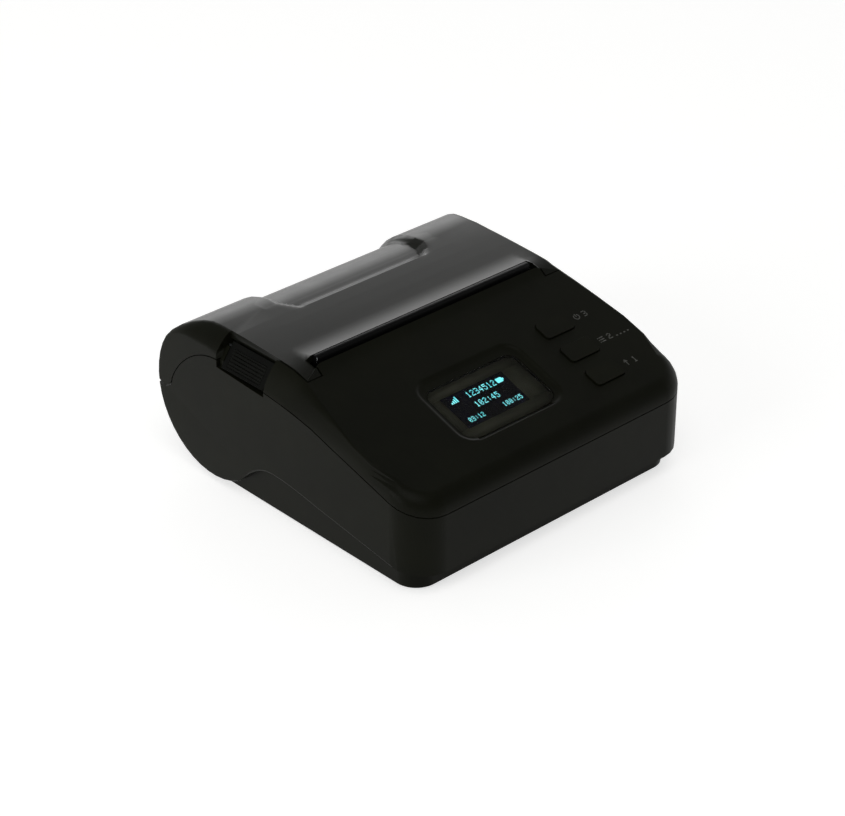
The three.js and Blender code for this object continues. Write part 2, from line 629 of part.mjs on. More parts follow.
// Latch lever on the left bevel, told by its distance from the left wall and the walls behind and before it
const latch = {
  foldInset: 5.7, foldZ: 48.3, edgeZ: 40.3, frontGap: 0.4, backGap: 2.1, upperRun: 1.6, lowerRun: 9.8,
  thickness: 1.6, chamfer: 1.1, pivotInset: 4.85, pivotZ: 44.95, knuckle: 1.1, pin: 0.6, pinHole: 0.9,
  pinFrontReach: 1.2, pinBackReach: 0.6, noseInset: 6, noseLow: 41.2, noseHigh: 42.4,
  noseStart: 4.6, noseLength: 8, cutFront: 38.3, cutBack: 39.5, postReach: 0.4,
};
latch.foldX = latch.foldInset - halfWidth;
latch.edgeX = -halfWidth;
latch.pivotX = latch.pivotInset - halfWidth;
latch.noseX = latch.noseInset - halfWidth;
latch.y0 = shoulder.backY + latch.frontGap;
latch.y1 = coverLip.backY - latch.backGap;
latch.pinY0 = shoulder.backY - latch.pinFrontReach;
latch.pinY1 = coverLip.backY - latch.pinBackReach;
latch.noseY0 = latch.y0 + latch.noseStart;
latch.noseY1 = latch.noseY0 + latch.noseLength;
latch.postY0 = latch.y1 + fit;
latch.postY1 = coverLip.backY - latch.postReach;
const catchLedge = { edgeInset: 6.3, wallInset: 7, wall: 1.4, low: 39.4, high: 40.9, wallTop: 46.4 };
catchLedge.edge = catchLedge.edgeInset - halfWidth;
catchLedge.wallX0 = catchLedge.wallInset - halfWidth;
catchLedge.wallX1 = catchLedge.wallX0 + catchLedge.wall;

// Bottom shell: side ledges over a smaller plinth, with the drum's lower half behind
const plinthPlan = (inset, r0, r1) => roundedRect(-plinthHalf + inset, plinthHalf - inset,
  plinthFrontY + inset, plinth.backY - inset, r0, r1);
const tubOuter = outer.intersect(aboveArch(0, 0))
  .add(planPrism(plinthPlan(0, plinth.cornerFront, plinth.cornerBack), plinth.foot, arch.topHeight));
const tubInner = inner.intersect(aboveArch(wall, plinth.cornerBack / 2))
  .add(planPrism(plinthPlan(wall, plinth.cornerFront - wall, plinth.cornerBack / 2), floorTop, far / 2)
    .intersect(inner));
let tub = tubOuter.subtract(tubInner).intersect(belowSeam);
tub = tub.subtract(sidePrism([
  [shoulder.backY, latch.cutFront], [coverLip.backY, latch.cutBack],
  [coverLip.backY, far], [shoulder.backY, far],
], -far, catchLedge.wallX0));

// Knuckles for the cover's pins, standing on the back wall
for (const side of [-1, 1]) {
  const ends = both(side, hinge.knuckleFrom, hinge.knuckleTo);
  const neck = block(...ends, hingeY - hinge.knuckle, hingeY + hinge.knuckle,
    hinge.height - hinge.neckDrop, hinge.height);
  tub = tub.add(rodX(...ends, hingeY, hinge.height, hinge.knuckle)).add(neck.intersect(outer));
  tub = tub.subtract(rodX(...wider(ends, fit), hingeY, hinge.height, hinge.pin + fit));
}

// Post behind the latch that carries its pin
const postShape = [
  [-halfWidth + wall / 2, latch.cutBack - wall], [latch.pivotX + latch.knuckle, latch.cutBack],
  [latch.pivotX + latch.knuckle, latch.pivotZ + fit], [latch.pivotX - latch.knuckle, latch.pivotZ + fit],
  [-halfWidth + wall / 2, latch.cutBack + wall],
];
tub = tub.add(frontPrism(postShape, latch.postY0, latch.postY1).intersect(envelope(2 * fit)));
tub = tub.subtract(rodY(latch.postY0 - fit, latch.postY1 + fit, latch.pivotX, latch.pivotZ, latch.pinHole));

// Screw posts, feet recesses, battery opening and socket holes
for (const [x, y] of postPlaces) {
  tub = tub.add(rodZ(plinth.foot, posts.top, x, y, posts.radius));
  tub = tub.subtract(rodZ(0, posts.top + fit, x, y, posts.bore));
  tub = tub.subtract(rodZ(0, screw.headLow + screw.headHeight, x, y, screw.recess));
}
for (const [x, y] of footPlaces) {
  tub = tub.subtract(rodZ(0, plinth.foot + foot.recess, x, y, foot.radius + fit / 2, steps.round));
}
tub = tub.subtract(block(battery.x0 + battery.lip, battery.x1 - battery.lip, battery.y0 + battery.lip,
  battery.y1 - battery.lip, 0, floorTop + fit));
tub = tub.subtract(rodX(jack.x1 - wall, far, jack.y, jack.z, jack.nose + fit));
tub = tub.subtract(block(usb.x0, far, usb.y - usb.width / 2 - fit, usb.y + usb.width / 2 + fit,
  usb.z0 - fit, mainBoard.z));
add('bottom_shell', tub, looks.casing);

// Top shell: sloping deck, its screw bosses and the end wall of the left shoulder
const display = {
  x: -4.9, v: 24.65, width: 36.2, height: 22.5, corner: 4, depth: 0.8,
  glassX: -5.15, glassV: 23.6, glassWidth: 34.3, glassHeight: 20.2, glass: 1, pad: 1.2, padMargin: 3,
  screenX: -7.05, screenV: 23.7, screenWidth: 25.6, screenHeight: 14.6, screenTop: 2,
  holeWidth: 26, holeHeight: 15, panelWidth: 27, panelHeight: 19.4, panelLow: 5,
  boardWidth: 28, boardHeight: 27, boardLow: 6.2,
};
const keys = {
  sideInset: 23.75, width: 11.2, height: 6.2, first: 13.5, pitch: 10.6, proud: 0.5, travel: 0.6,
  corner: 1.2, gap: 0.25,
  flangeWidth: 12.6, flangeHeight: 7.5, flange: 0.8, stem: 1.5, stemLength: 0.6,
};
keys.x = halfWidth - keys.sideInset;
const keyV = [0, 1, 2].map((i) => keys.first + i * keys.pitch);
let top = skin.intersect(aboveSeam).intersect(topPlan);
const shoulderWall = block(-halfWidth, -shoulder.edge, shoulder.backY - shoulder.wall, shoulder.backY,
  seamZ(shoulder.backY) + seam, far);
top = top.add(shoulderWall.intersect(outer).intersect(aboveSeam));
top = top.subtract(rodY(shoulder.backY - 2 * shoulder.wall, shoulder.backY + fit,
  latch.pivotX, latch.pivotZ, latch.pinHole));
const lipRib = { depth: 1.8, low: 44, endGap: 0.2 };
const ribHalf = slot.halfLength - lipRib.endGap;
top = top.add(block(-ribHalf, ribHalf, slot.lip - lipRib.depth, slot.lip,
  lipRib.low, deckZ(slot.lip) - wall / 2));
for (const [x, y] of postPlaces) {
  const boss = rodZ(posts.top + fit / 2, far, x, y, posts.bossRadius).intersect(envelope(wall / 2));
  top = top.add(boss).subtract(rodZ(posts.top, screw.top + fit, x, y, posts.bossBore));
}
const padSize = [display.width + display.padMargin, display.height + display.padMargin];
top = top.add(deckRect([display.x, display.v], padSize, -wall - display.pad, -wall / 2, display.corner));
top = top.subtract(deckRect([display.x, display.v], [display.width, display.height],
  -display.depth, overrun, display.corner));
const glassSeat = display.depth + display.glass;
top = top.subtract(deckRect([display.glassX, display.glassV],
  [display.glassWidth + fit, display.glassHeight + fit], -glassSeat, overrun, display.corner - fit));
top = top.subtract(deckRect([display.screenX, display.screenV], [display.holeWidth, display.holeHeight],
  -2 * overrun, overrun));
for (const v of keyV) {
  top = top.subtract(deckRect([keys.x, v], [keys.width + 2 * keys.gap, keys.height + 2 * keys.gap],
    -overrun, overrun, keys.corner + keys.gap));
}
add('top_shell', top, looks.casing);

add('display_window', deckRect([display.glassX, display.glassV], [display.glassWidth, display.glassHeight],
  -glassSeat, -display.depth, display.corner - 1.5 * fit), looks.glass);
const panelTop = -wall - display.pad;
const moduleLayers = [
  [display.screenWidth, display.screenHeight, panelTop - fit, -display.screenTop],
  [display.panelWidth, display.panelHeight, -display.panelLow - fit, panelTop],
  [display.boardWidth, display.boardHeight, -display.boardLow, -display.panelLow],
];
add('display_module', unite(moduleLayers.map(([w, h, low, high]) => deckRect(
  [display.screenX, display.screenV], [w, h], low, high))), looks.screen);

// Three keys with flanges under the deck, their switches and the board that holds these
const keyRest = -wall - fit / 2;
const keyNames = ['feed_key', 'menu_key', 'power_key'];
keyNames.forEach((name, i) => {
  const group = joinedGroup(`${name}_group`, deckPoint(keys.x, keyV[i], 0));
  const at = [keys.x, keyV[i]];
  const cap = deckRect(at, [keys.width, keys.height], keyRest - keys.flange, keys.proud, keys.corner);
  const flange = deckRect(at, [keys.flangeWidth, keys.flangeHeight],
    keyRest - keys.flange, keyRest, keys.corner);
  const stemReach = keys.flange + keys.stemLength;
  const stem = solid(new THREE.CylinderGeometry(keys.stem, keys.stem, stemReach, steps.small)
    .rotateX(Math.PI / 2).translate(keys.x, keyV[i], keyRest - stemReach / 2)
    .rotateX(deckPitch).translate(0, frontY, deckFrontHeight));
  add(name, cap.add(flange).add(stem), looks.key, group);
});
const keySwitch = { size: 5.2, button: 1.6, buttonHeight: 0.5, body: 1, board: 1.2, boardHalf: 7.75 };
const switchTop = keyRest - keys.flange - keys.stemLength - keys.travel - fit / 2;
const switchBody = switchTop - keySwitch.buttonHeight;
const keyBoardTop = switchBody - keySwitch.body;
addEach('key_switch', keyV.map((v) => deckRect([keys.x, v], [keySwitch.size, keySwitch.size],
  keyBoardTop, switchBody).add(deckRect([keys.x, v], [keySwitch.button, keySwitch.button],
  switchBody - fit, switchTop))), looks.chip);
const keyBoardV = [keyV[0] - keys.flangeHeight / 2, keyV[2] + keys.flangeHeight / 2 + wall];
const keyBoardX = [keys.x - keySwitch.boardHalf, keys.x + keySwitch.boardHalf];
const keyBoard = deckPrism(roundedRect(...keyBoardX, ...keyBoardV, fit),
  keyBoardTop - keySwitch.board, keyBoardTop);
add('key_board', keyBoard, looks.board);

// Cover: skin, closing walls at the left, hinge barrels and the catch
const coverGroup = joinedGroup('cover_group', [0, hingeY, hinge.height]);
let cover = skin.intersect(aboveSeam).intersect(coverPlan);
const tailRadius = hinge.sweepRadius - seam;
cover = cover.subtract(block(-far, far, hingeY - hinge.sweepRadius, far, -far, hinge.height)
  .subtract(rodX(-far, far, hingeY, hinge.height, tailRadius)));
const sideWall = block(catchLedge.wallX0, catchLedge.wallX1, slot.coverEdge, coverLip.backY + wall,
  catchLedge.low, catchLedge.wallTop).intersect(outer);
const innerSeam = sidePrism([
  ...seamLine(seam), [backY + overrun, hinge.height], [backY, far], [frontY, far],
], -far, far);
cover = cover.add(sideWall.intersect(innerSeam));
cover = cover.add(block(-halfWidth, catchLedge.wallX1, coverLip.backY, coverLip.backY + shoulder.wall, 0, far)
  .intersect(outer).intersect(aboveSeam));
const noseY = [latch.noseY0, latch.noseY1];
cover = cover.add(block(catchLedge.edge, catchLedge.wallX1, ...noseY, catchLedge.low, catchLedge.high))
  .add(block(catchLedge.wallX0, catchLedge.wallX1, ...noseY, catchLedge.low, catchLedge.wallTop));
for (const side of [-1, 1]) {
  const notch = both(side, hinge.knuckleFrom - seam, hinge.knuckleTo + seam);
  cover = cover.subtract(block(...notch, hingeY - 2 * hinge.sweepRadius, far,
    0, hinge.height + hinge.knuckle + 2 * seam));
  for (const start of [hinge.knuckleFrom - seam - hinge.barrelLength, hinge.knuckleTo + seam]) {
    const ends = both(side, start, start + hinge.barrelLength);
    const arm = block(...ends, hingeY - hinge.barrel, hingeY + hinge.barrel,
      hinge.height, hinge.height + hinge.neckDrop / 2);
    cover = cover.add(rodX(...ends, hingeY, hinge.height, hinge.barrel)).add(arm.intersect(outer));
    cover = cover.subtract(rodX(...ends, hingeY, hinge.height, hinge.pin + fit / 2));
  }
}
const liner = {
  gap: 2.6, wall: 1.2, backReach: 12.5, low: 38, armFrom: 0.6, armTo: 2.4, armRadius: 3.9, armReach: 5.4,
};
liner.y0 = raisedLip.from;
liner.y1 = drumY + liner.backReach;
liner.armX0 = platen.half + liner.armFrom;
liner.armX1 = platen.half + liner.armTo;
const linerScrew = { armGap: 4.8, lipReach: 5, shank: 0.9, head: 1.9, headHeight: 0.8, bite: 1.2 };
const linerScrewPlaces = [-1, 1].map((side) => [
  side * (liner.armX0 - linerScrew.armGap), raisedLip.from + linerScrew.lipReach,
]);
for (const [x, y] of linerScrewPlaces) {
  const under = crownZ(y) - wall;
  const hole = linerScrew.shank + fit / 2;
  cover = cover.subtract(rodZ(under - fit, under + linerScrew.bite + fit / 2, x, y, hole));
}
add('cover', cover, looks.cover, coverGroup);

// Tear bar along the cover's front edge, with a foot under the cover's skin
const tearBar = {
  endGap: 1.7, frontReach: 2.1, backReach: 0.3, footReach: 3.4, top: 49.4, low: 45.7, footTop: 46.3,
};
tearBar.front = slot.coverEdge - tearBar.frontReach;
tearBar.back = slot.coverEdge - tearBar.backReach;
tearBar.footBack = slot.coverEdge + tearBar.footReach;
tearBar.half = slot.halfLength - tearBar.endGap;
const barShape = [
  [tearBar.front, tearBar.low], [tearBar.footBack, tearBar.low], [tearBar.footBack, tearBar.footTop],
  [tearBar.back, tearBar.footTop + fit], [tearBar.back, tearBar.top - fit], [tearBar.back - fit, tearBar.top],
  [tearBar.front + fit, tearBar.top], [tearBar.front, tearBar.top - fit],
];
add('tear_bar', sidePrism(barShape, -tearBar.half, tearBar.half), looks.steel, coverGroup);

// Cover liner over the roll, with arms that carry the platen's bushes
const linerShape = envelope(liner.gap).subtract(envelope(liner.gap + liner.wall));
let linerBody = linerShape.intersect(block(-slot.halfLength, slot.halfLength,
  liner.y0, liner.y1, liner.low, far));
const armBackY = drumY - liner.armReach;
const armShape = [
  [platen.y, platen.z - liner.armRadius], [liner.y0, liner.low], [armBackY, seamZ(armBackY)],
  [armBackY, far], [liner.y0, far], [platen.y - fit, platen.z + liner.armRadius],
];
const armFrontY = platen.y - liner.armRadius - fit;
const armSpace = envelope(liner.gap)
  .intersect(block(-far, far, armFrontY, far, 0, crestZ - wall - liner.wall));
for (const side of [-1, 1]) {
  const ends = both(side, liner.armX0, liner.armX1);
  const arm = rodX(...ends, platen.y, platen.z, liner.armRadius)
    .add(sidePrism(armShape, ...ends).intersect(armSpace));
  const bore = rodX(...wider(ends, fit), platen.y, platen.z, bush.spigot + fit / 3);
  linerBody = linerBody.add(arm).subtract(bore);
}
for (const [x, y] of linerScrewPlaces) {
  linerBody = linerBody.subtract(rodZ(liner.low, crownZ(y), x, y, linerScrew.shank + fit / 2));
}
add('cover_liner', linerBody, looks.dark, coverGroup);
addEach('liner_screw', linerScrewPlaces.map(([x, y]) => {
  const seat = crownZ(y) - liner.gap - liner.wall - fit;
  return rodZ(seat - linerScrew.headHeight, seat, x, y, linerScrew.head)
    .add(rodZ(seat - fit, crownZ(y) - wall + linerScrew.bite, x, y, linerScrew.shank));
}), looks.steel, coverGroup);

// Hinge pins, pressed into the cover's barrels and turning in the knuckles
for (const [name, side] of [['hinge_pin_left', -1], ['hinge_pin_right', 1]]) {
  const ends = both(side, hinge.knuckleFrom - hinge.barrelLength, hinge.knuckleTo + hinge.barrelLength);
  add(name, rodX(...ends, hingeY, hinge.height, hinge.pin), looks.steel, coverGroup);
}

// Platen roller with its core, sleeve and gear, turning in two bushes on the cover
const platenGroup = joinedGroup('platen_group', [0, platen.y, platen.z], coverGroup);
const shaftReach = { left: 0.7, right: 0.4 };
add('platen_shaft', rodX(-platen.half, platen.half, platen.y, platen.z, platen.core)
  .add(rodX(-frame.x1 - shaftReach.left, gearing.x1 + shaftReach.right, platen.y, platen.z, platen.shaft)),
looks.steel, platenGroup);
add('platen_rubber', rodX(-platen.half, platen.half, platen.y, platen.z, platen.radius)
  .subtract(rodX(-far, far, platen.y, platen.z, platen.sleeve)), looks.rubber, platenGroup);
for (const [name, side] of [['platen_bush_left', -1], ['platen_bush_right', 1]]) {
  const rim = both(side, bush.x0, bush.x1);
  const spigot = both(side, bush.spigotFrom, bush.x1);
  add(name, rodX(...rim, platen.y, platen.z, bush.radius).add(rodX(...spigot, platen.y, platen.z, bush.spigot))
    .subtract(rodX(-far, far, platen.y, platen.z, bush.bore)), looks.nylon, coverGroup);
}

// Gear train: pinion on the motor, idler on the frame, gear on the platen
const toothShares = { root: 0.28, tip: 0.1, dedendum: 1.25 };
const pitchRadius = (teeth) => gearing.module * teeth / 2;
function gear(teeth, y, z, phase, bore) {
  const points = [];
  for (let i = 0; i < teeth; i += 1) {
    const low = pitchRadius(teeth) - toothShares.dedendum * gearing.module;
    const high = pitchRadius(teeth) + gearing.module;
    const corners = [
      [-toothShares.root, low], [-toothShares.tip, high], [toothShares.tip, high], [toothShares.root, low],
    ];
    for (const [share, radius] of corners) {
      const angle = phase + (2 * Math.PI / teeth) * (i + share);
      points.push([y + radius * Math.cos(angle), z + radius * Math.sin(angle)]);
    }
  }
  const body = sidePrism(points, gearing.x0, gearing.x1);
  return bore ? body.subtract(rodX(-far, far, y, z, bore)) : body;
}

// The phase at which a gear's gap meets a neighbour's tooth
function meshPhase(from, to, phase) {
  const line = Math.atan2(to.z - from.z, to.y - from.y);
  return line + Math.PI + Math.PI / to.teeth - (phase - line) * from.teeth / to.teeth;
}
const platenGear = { y: platen.y, z: platen.z, teeth: gearing.platenTeeth };
const pinionGear = { y: motor.y, z: motor.z, teeth: gearing.pinionTeeth };
const reachA = pitchRadius(gearing.platenTeeth + gearing.idlerTeeth) + gearing.slack;
const reachB = pitchRadius(gearing.pinionTeeth + gearing.idlerTeeth) + gearing.slack;
const span = Math.hypot(motor.y - platen.y, motor.z - platen.z);
const along = (reachA ** 2 - reachB ** 2 + span ** 2) / (2 * span);
const aside = Math.sqrt(reachA ** 2 - along ** 2);
const lineY = (motor.y - platen.y) / span;
const lineZ = (motor.z - platen.z) / span;
const idlerGear = {
  y: platen.y + along * lineY + aside * lineZ,
  z: platen.z + along * lineZ - aside * lineY,
  teeth: gearing.idlerTeeth,
};
const idlerPhase = meshPhase(platenGear, idlerGear, 0);
const pinionPhase = meshPhase(idlerGear, pinionGear, idlerPhase);
const axle = { radius: 1, bore: 1.25, cap: 1.8, capWidth: 0.7 };
add('platen_gear', gear(platenGear.teeth, platenGear.y, platenGear.z, 0, platen.shaft + fit / 3),
  looks.nylon, platenGroup);
const idlerGroup = joinedGroup('idler_group', [gearing.x0, idlerGear.y, idlerGear.z]);
add('idler_gear', gear(idlerGear.teeth, idlerGear.y, idlerGear.z, idlerPhase, axle.bore),
  looks.nylon, idlerGroup);
const capX = gearing.x1 + fit;
add('idler_axle', rodX(frame.x0, capX, idlerGear.y, idlerGear.z, axle.radius)
  .add(rodX(capX, capX + axle.capWidth, idlerGear.y, idlerGear.z, axle.cap)), looks.steel);
const pinionGroup = joinedGroup('pinion_group', [gearing.x0, motor.y, motor.z]);
add('motor_pinion', gear(pinionGear.teeth, motor.y, motor.z, pinionPhase, 0)
  .add(rodX(motor.x1 + fit / 2, gearing.x1, motor.y, motor.z, motor.shaft)), looks.alloy, pinionGroup);

// Stepper motor and its two screws
const tabs = [0, Math.PI].map((turn) => {
  const angle = degrees(motor.tabAngle) + turn;
  return [motor.y + motor.tabReach * Math.cos(angle), motor.z + motor.tabReach * Math.sin(angle)];
});
const motorScrew = { shank: 0.9, hole: 1.05, head: 1.7, headWidth: 0.5, reach: 2.4 };
let motorBody = rodX(motor.x0, motor.x1, motor.y, motor.z, motor.radius);
const tabX = motor.x1 - frame.x1 + frame.x0;
for (const [y, z] of tabs) {
  const ear = [
    [y, z - motor.tab], [motor.y, motor.z - motor.tab], [motor.y, motor.z + motor.tab], [y, z + motor.tab],
  ];
  motorBody = motorBody.add(rodX(tabX, motor.x1, y, z, motor.tab, steps.small))
    .add(sidePrism(ear, tabX, motor.x1));
}
for (const [y, z] of tabs) {
  motorBody = motorBody.subtract(rodX(motor.x1 - wall, far, y, z, motorScrew.hole, steps.small));
}
add('stepper_motor', motorBody, looks.alloy);
addEach('motor_screw', tabs.map(([y, z]) => rodX(frame.x1, frame.x1 + motorScrew.headWidth, y, z,
  motorScrew.head, steps.small).add(rodX(frame.x1 - motorScrew.reach, frame.x1, y, z,
  motorScrew.shank, steps.small))), looks.steel);

// Mechanism frame: two side plates, a floor, the spring beam and the paper guide
let frameBody = block(-frame.x1, frame.x1, frame.frontY + wall, frame.backY - wall, floorTop, frame.floorHigh);
const plateShape = [
  [frame.frontY, floorTop], [frame.backY, floorTop], [frame.backY, platen.z - wall],
  [platen.y + frame.slot, platen.z],
  [platen.y - frame.slot, platen.z], [platen.y - frame.slot, frame.top], [head.backY, frame.top],
  [frame.frontY, frame.frontTop],
];
for (const side of [-1, 1]) {
  const ends = both(side, frame.x0, frame.x1);
  const plate = sidePrism(plateShape, ...ends).subtract(rodX(-far, far, platen.y, platen.z, frame.slot))
    .subtract(rodX(-far, far, head.stubY, head.stubZ, head.stubHole));
  frameBody = frameBody.add(plate);
}
frameBody = frameBody
  .add(block(-frame.x1, frame.x1, frame.beamFront, frame.beamBack, frame.beamLow, frame.beamTop))
  .add(block(-frame.x1, frame.x1, frame.guideY, frame.guideY + wall / 2, frame.guideLow, frame.guideTop));
frameBody = frameBody.subtract(rodX(0, far, motor.y, motor.z, motor.shaft + fit))
  .subtract(rodX(0, far, idlerGear.y, idlerGear.z, axle.radius));
for (const [y, z] of tabs) {
  frameBody = frameBody.subtract(rodX(frame.x0 - fit, far, y, z, motorScrew.hole, steps.small));
}
add('mechanism_frame', frameBody, looks.plate);

// Thermal head on two stubs, with its springs and ribbon
const headGroup = joinedGroup('head_group', [0, head.stubY, head.stubZ]);
add('print_head', block(-head.half, head.half, head.backY, head.faceY, head.low, head.top),
  looks.ceramic, headGroup);
add('heat_sink', block(-head.sinkHalf, head.sinkHalf, head.sinkFront, head.backY, head.sinkLow, head.top)
  .add(rodX(-head.stubEnd, head.stubEnd, head.stubY, head.stubZ, head.stub)), looks.alloy, headGroup);
const spring = { x: 22, radius: 2, hollow: 1.4, z: 37.5, room: 0.3 };
const springEnds = [frame.beamBack, head.sinkFront - spring.room];
addEach('head_spring', [-spring.x, spring.x].map((x) => rodY(...springEnds, x, spring.z, spring.radius)
  .subtract(rodY(springEnds[0] - fit, springEnds[1] + fit, x, spring.z, spring.hollow))), looks.steel);
const ribbon = { half: 15, thickness: 0.3, room: 0.4, bendZ: 28, run: 3 };
const boardTop = mainBoard.z + mainBoard.thickness;
const ribbonPath = [
  [head.stubY, head.sinkLow - ribbon.room], [head.stubY, ribbon.bendZ],
  [frame.beamFront, mainBoard.z + wall + fit], [mainBoard.y1, boardTop],
  [mainBoard.y1 - ribbon.run, boardTop],
];
const ribbonBack = ribbonPath.slice().reverse()
  .map(([y, z]) => [y - ribbon.thickness / 3, z + ribbon.thickness]);
add('head_ribbon', sidePrism([...ribbonPath, ...ribbonBack], -ribbon.half, ribbon.half), looks.flex);
const sensor = { x: 11, width: 6, overhang: 0.4, depth: 2.6, height: 2 };
const sensorY = frame.guideY - sensor.overhang;
const sensorX = [sensor.x - sensor.width / 2, sensor.x + sensor.width / 2];
add('paper_sensor', block(...sensorX, sensorY, sensorY + sensor.depth,
  frame.guideTop, frame.guideTop + sensor.height), looks.chip);

// Paper bucket: a trough under the roll, open at the top
const bucketArc = (radius, grow) => {
  const start = Math.PI - Math.asin(rollSpace.frontRise / radius);
  const end = 2 * Math.PI - Math.asin(rollSpace.backDrop / radius);
  const points = [];
  for (let i = 0; i <= steps.drum; i += 1) {
    const a = THREE.MathUtils.lerp(start, end, i / steps.drum);
    points.push([drumY + radius * Math.cos(a), drumZ + radius * Math.sin(a)]);
  }
  points[0][1] += grow;
  points[steps.drum][1] += grow;
  return points;
};
const innerHalf = rollSpace.outerHalf - rollSpace.wall;
const bucket = sidePrism(bucketArc(rollSpace.outer, 0), -rollSpace.outerHalf, rollSpace.outerHalf)
  .subtract(sidePrism(bucketArc(rollSpace.outer - rollSpace.wall, fit), -innerHalf, innerHalf));
add('paper_bucket', bucket, looks.dark);

// Battery case with two cells, closed from below by a screwed door
const caseBody = block(battery.x0, battery.x1, battery.y0, battery.y1, floorTop, battery.top)
  .subtract(block(battery.x0 + battery.wall, battery.x1 - battery.wall, battery.y0 + battery.wall,
    battery.y1 - battery.wall, 0, battery.top - battery.wall));
add('battery_case', caseBody, looks.dark);
const cellX = (battery.x0 + battery.x1) / 2;
const cellFrontY = battery.y0 + battery.wall + cell.gap + cell.radius;
const cellYs = [cellFrontY, cellFrontY + 2 * cell.radius + cell.gap];
addEach('battery_cell', cellYs.map((y) => rodX(cellX - cell.length / 2, cellX + cell.length / 2,
  y, cell.z, cell.radius)), looks.cell);
const door = { gap: 0.3, thickness: 1.6, rim: 1.6 };
const doorX = [battery.x0 + battery.lip + door.gap, battery.x1 - battery.lip - door.gap];
const doorY = [battery.y0 + battery.lip + door.gap, battery.y1 - battery.lip - door.gap];
const cradle = block(doorX[0] + door.rim, doorX[1] - door.rim, doorY[0] + door.rim, doorY[1] - door.rim,
  plinth.foot, floorTop + fit).subtract(block(doorX[0] + 2 * door.rim, doorX[1] - 2 * door.rim,
  doorY[0] + 2 * door.rim, doorY[1] - 2 * door.rim, plinth.foot + door.thickness, far));
add('battery_door', block(...doorX, ...doorY, plinth.foot, plinth.foot + door.thickness).add(cradle),
  looks.casing);

// Main board with its chips and the two sockets in the right wall
let boardBody = block(mainBoard.x0, mainBoard.x1, mainBoard.y0, mainBoard.y1,
  mainBoard.z, mainBoard.z + mainBoard.thickness);
for (const [x, y] of postPlaces) {
  boardBody = boardBody.subtract(rodZ(0, far, x, y, posts.radius + fit, steps.round));
}
add('main_board', boardBody, looks.board);
const controller = { sideInset: 17.6, frontInset: 26, width: 12, depth: 12, height: 1.6 };
const driver = { sideInset: 31.1, frontInset: 28.5, width: 7, depth: 5, height: 1.4 };
const capacitor = { sideInset: 59.6, frontInset: 20, width: 6, depth: 6, height: 4.5 };
function onBoard(chip) {
  const x = mainBoard.x0 + chip.sideInset;
  const y = mainBoard.y0 + chip.frontInset;
  return block(x - chip.width / 2, x + chip.width / 2, y - chip.depth / 2, y + chip.depth / 2,
    boardTop, boardTop + chip.height);
}
add('controller_chip', onBoard(controller), looks.chip);
add('motor_driver_chip', onBoard(driver), looks.chip);
add('board_capacitor', onBoard(capacitor), looks.chip);
add('power_jack', block(jack.x0, jack.x1, jack.y - jack.width / 2, jack.y + jack.width / 2,
  mainBoard.z - jack.height, mainBoard.z)
  .add(rodX(jack.x1 - fit, halfWidth - wall / 2, jack.y, jack.z, jack.nose))
  .subtract(rodX(halfWidth - jack.boreDepth, far, jack.y, jack.z, jack.bore))
  .add(rodX(halfWidth - jack.boreDepth - fit, jack.x1, jack.y, jack.z, jack.pin)), looks.dark);
const usbBox = (inset, x0, x1) => block(x0, x1, usb.y - usb.width / 2 + inset, usb.y + usb.width / 2 - inset,
  usb.z0 + inset, mainBoard.z - inset);
const usbMiddle = (usb.z0 + mainBoard.z) / 2;
add('usb_socket', usbBox(0, usb.x0, usb.x1).subtract(usbBox(usb.shell, usb.x0 + wall, far))
  .add(block(usb.x0 + wall / 2, usb.x1 - wall, usb.y - usb.width / 4, usb.y + usb.width / 4,
    usbMiddle - usb.tongue / 2, usbMiddle + usb.tongue / 2)), looks.steel);

// Screws that hold the casing together, and the feet
addEach('case_screw', postPlaces.map(([x, y]) => rodZ(screw.headLow, screw.headLow + screw.headHeight, x, y,
  screw.headRadius).add(rodZ(screw.headLow + fit, screw.top, x, y, screw.shank))), looks.steel);
addEach('rubber_foot', footPlaces.map(([x, y]) => rodZ(0, plinth.foot + foot.recess, x, y,
  foot.radius, steps.round)), looks.rubber);

// Latch lever under the left bevel, with its grip, pin and spring
const latchGroup = joinedGroup('latch_group', [latch.pivotX, latch.y0, latch.pivotZ]);
const bevelLength = Math.hypot(latch.edgeX - latch.foldX, latch.edgeZ - latch.foldZ);
const bevelX = (latch.edgeX - latch.foldX) / bevelLength;
const bevelZ = (latch.edgeZ - latch.foldZ) / bevelLength;
const onBevel = (run, under) => [
  latch.foldX + bevelX * run - bevelZ * under, latch.foldZ + bevelZ * run + bevelX * under,
];
const leverShape = [
  onBevel(latch.upperRun, 0), onBevel(latch.upperRun + latch.chamfer, latch.thickness),
  onBevel(latch.lowerRun, latch.thickness), onBevel(latch.lowerRun, 0),
];
let lever = frontPrism(leverShape, latch.y0, latch.y1);
lever = lever.add(rodY(latch.y0, latch.y1, latch.pivotX, latch.pivotZ, latch.knuckle));
const noseRunShare = 0.75;
const noseRoot = onBevel(latch.lowerRun * noseRunShare, latch.thickness);
lever = lever.add(block(noseRoot[0], latch.noseX, latch.noseY0, latch.noseY1, latch.noseLow, latch.noseHigh));
lever = lever.subtract(rodY(latch.y0 - fit, latch.y1 + fit, latch.pivotX, latch.pivotZ, latch.pin + fit / 3));
const grip = { margin: 1.8, rim: 0.5, ribs: 5, ribHeight: 0.35, depth: 0.5 };
const gripRun = [latch.upperRun + grip.margin, latch.lowerRun - grip.margin / 2];
const gripShape = (low, rise, inset) => [
  onBevel(gripRun[0] + inset, -rise), onBevel(gripRun[0] + inset, low),
  onBevel(gripRun[1] - inset, low), onBevel(gripRun[1] - inset, -rise),
];
lever = lever.subtract(frontPrism(gripShape(grip.depth, grip.rim, 0),
  latch.y0 + grip.margin, latch.y1 - grip.margin));
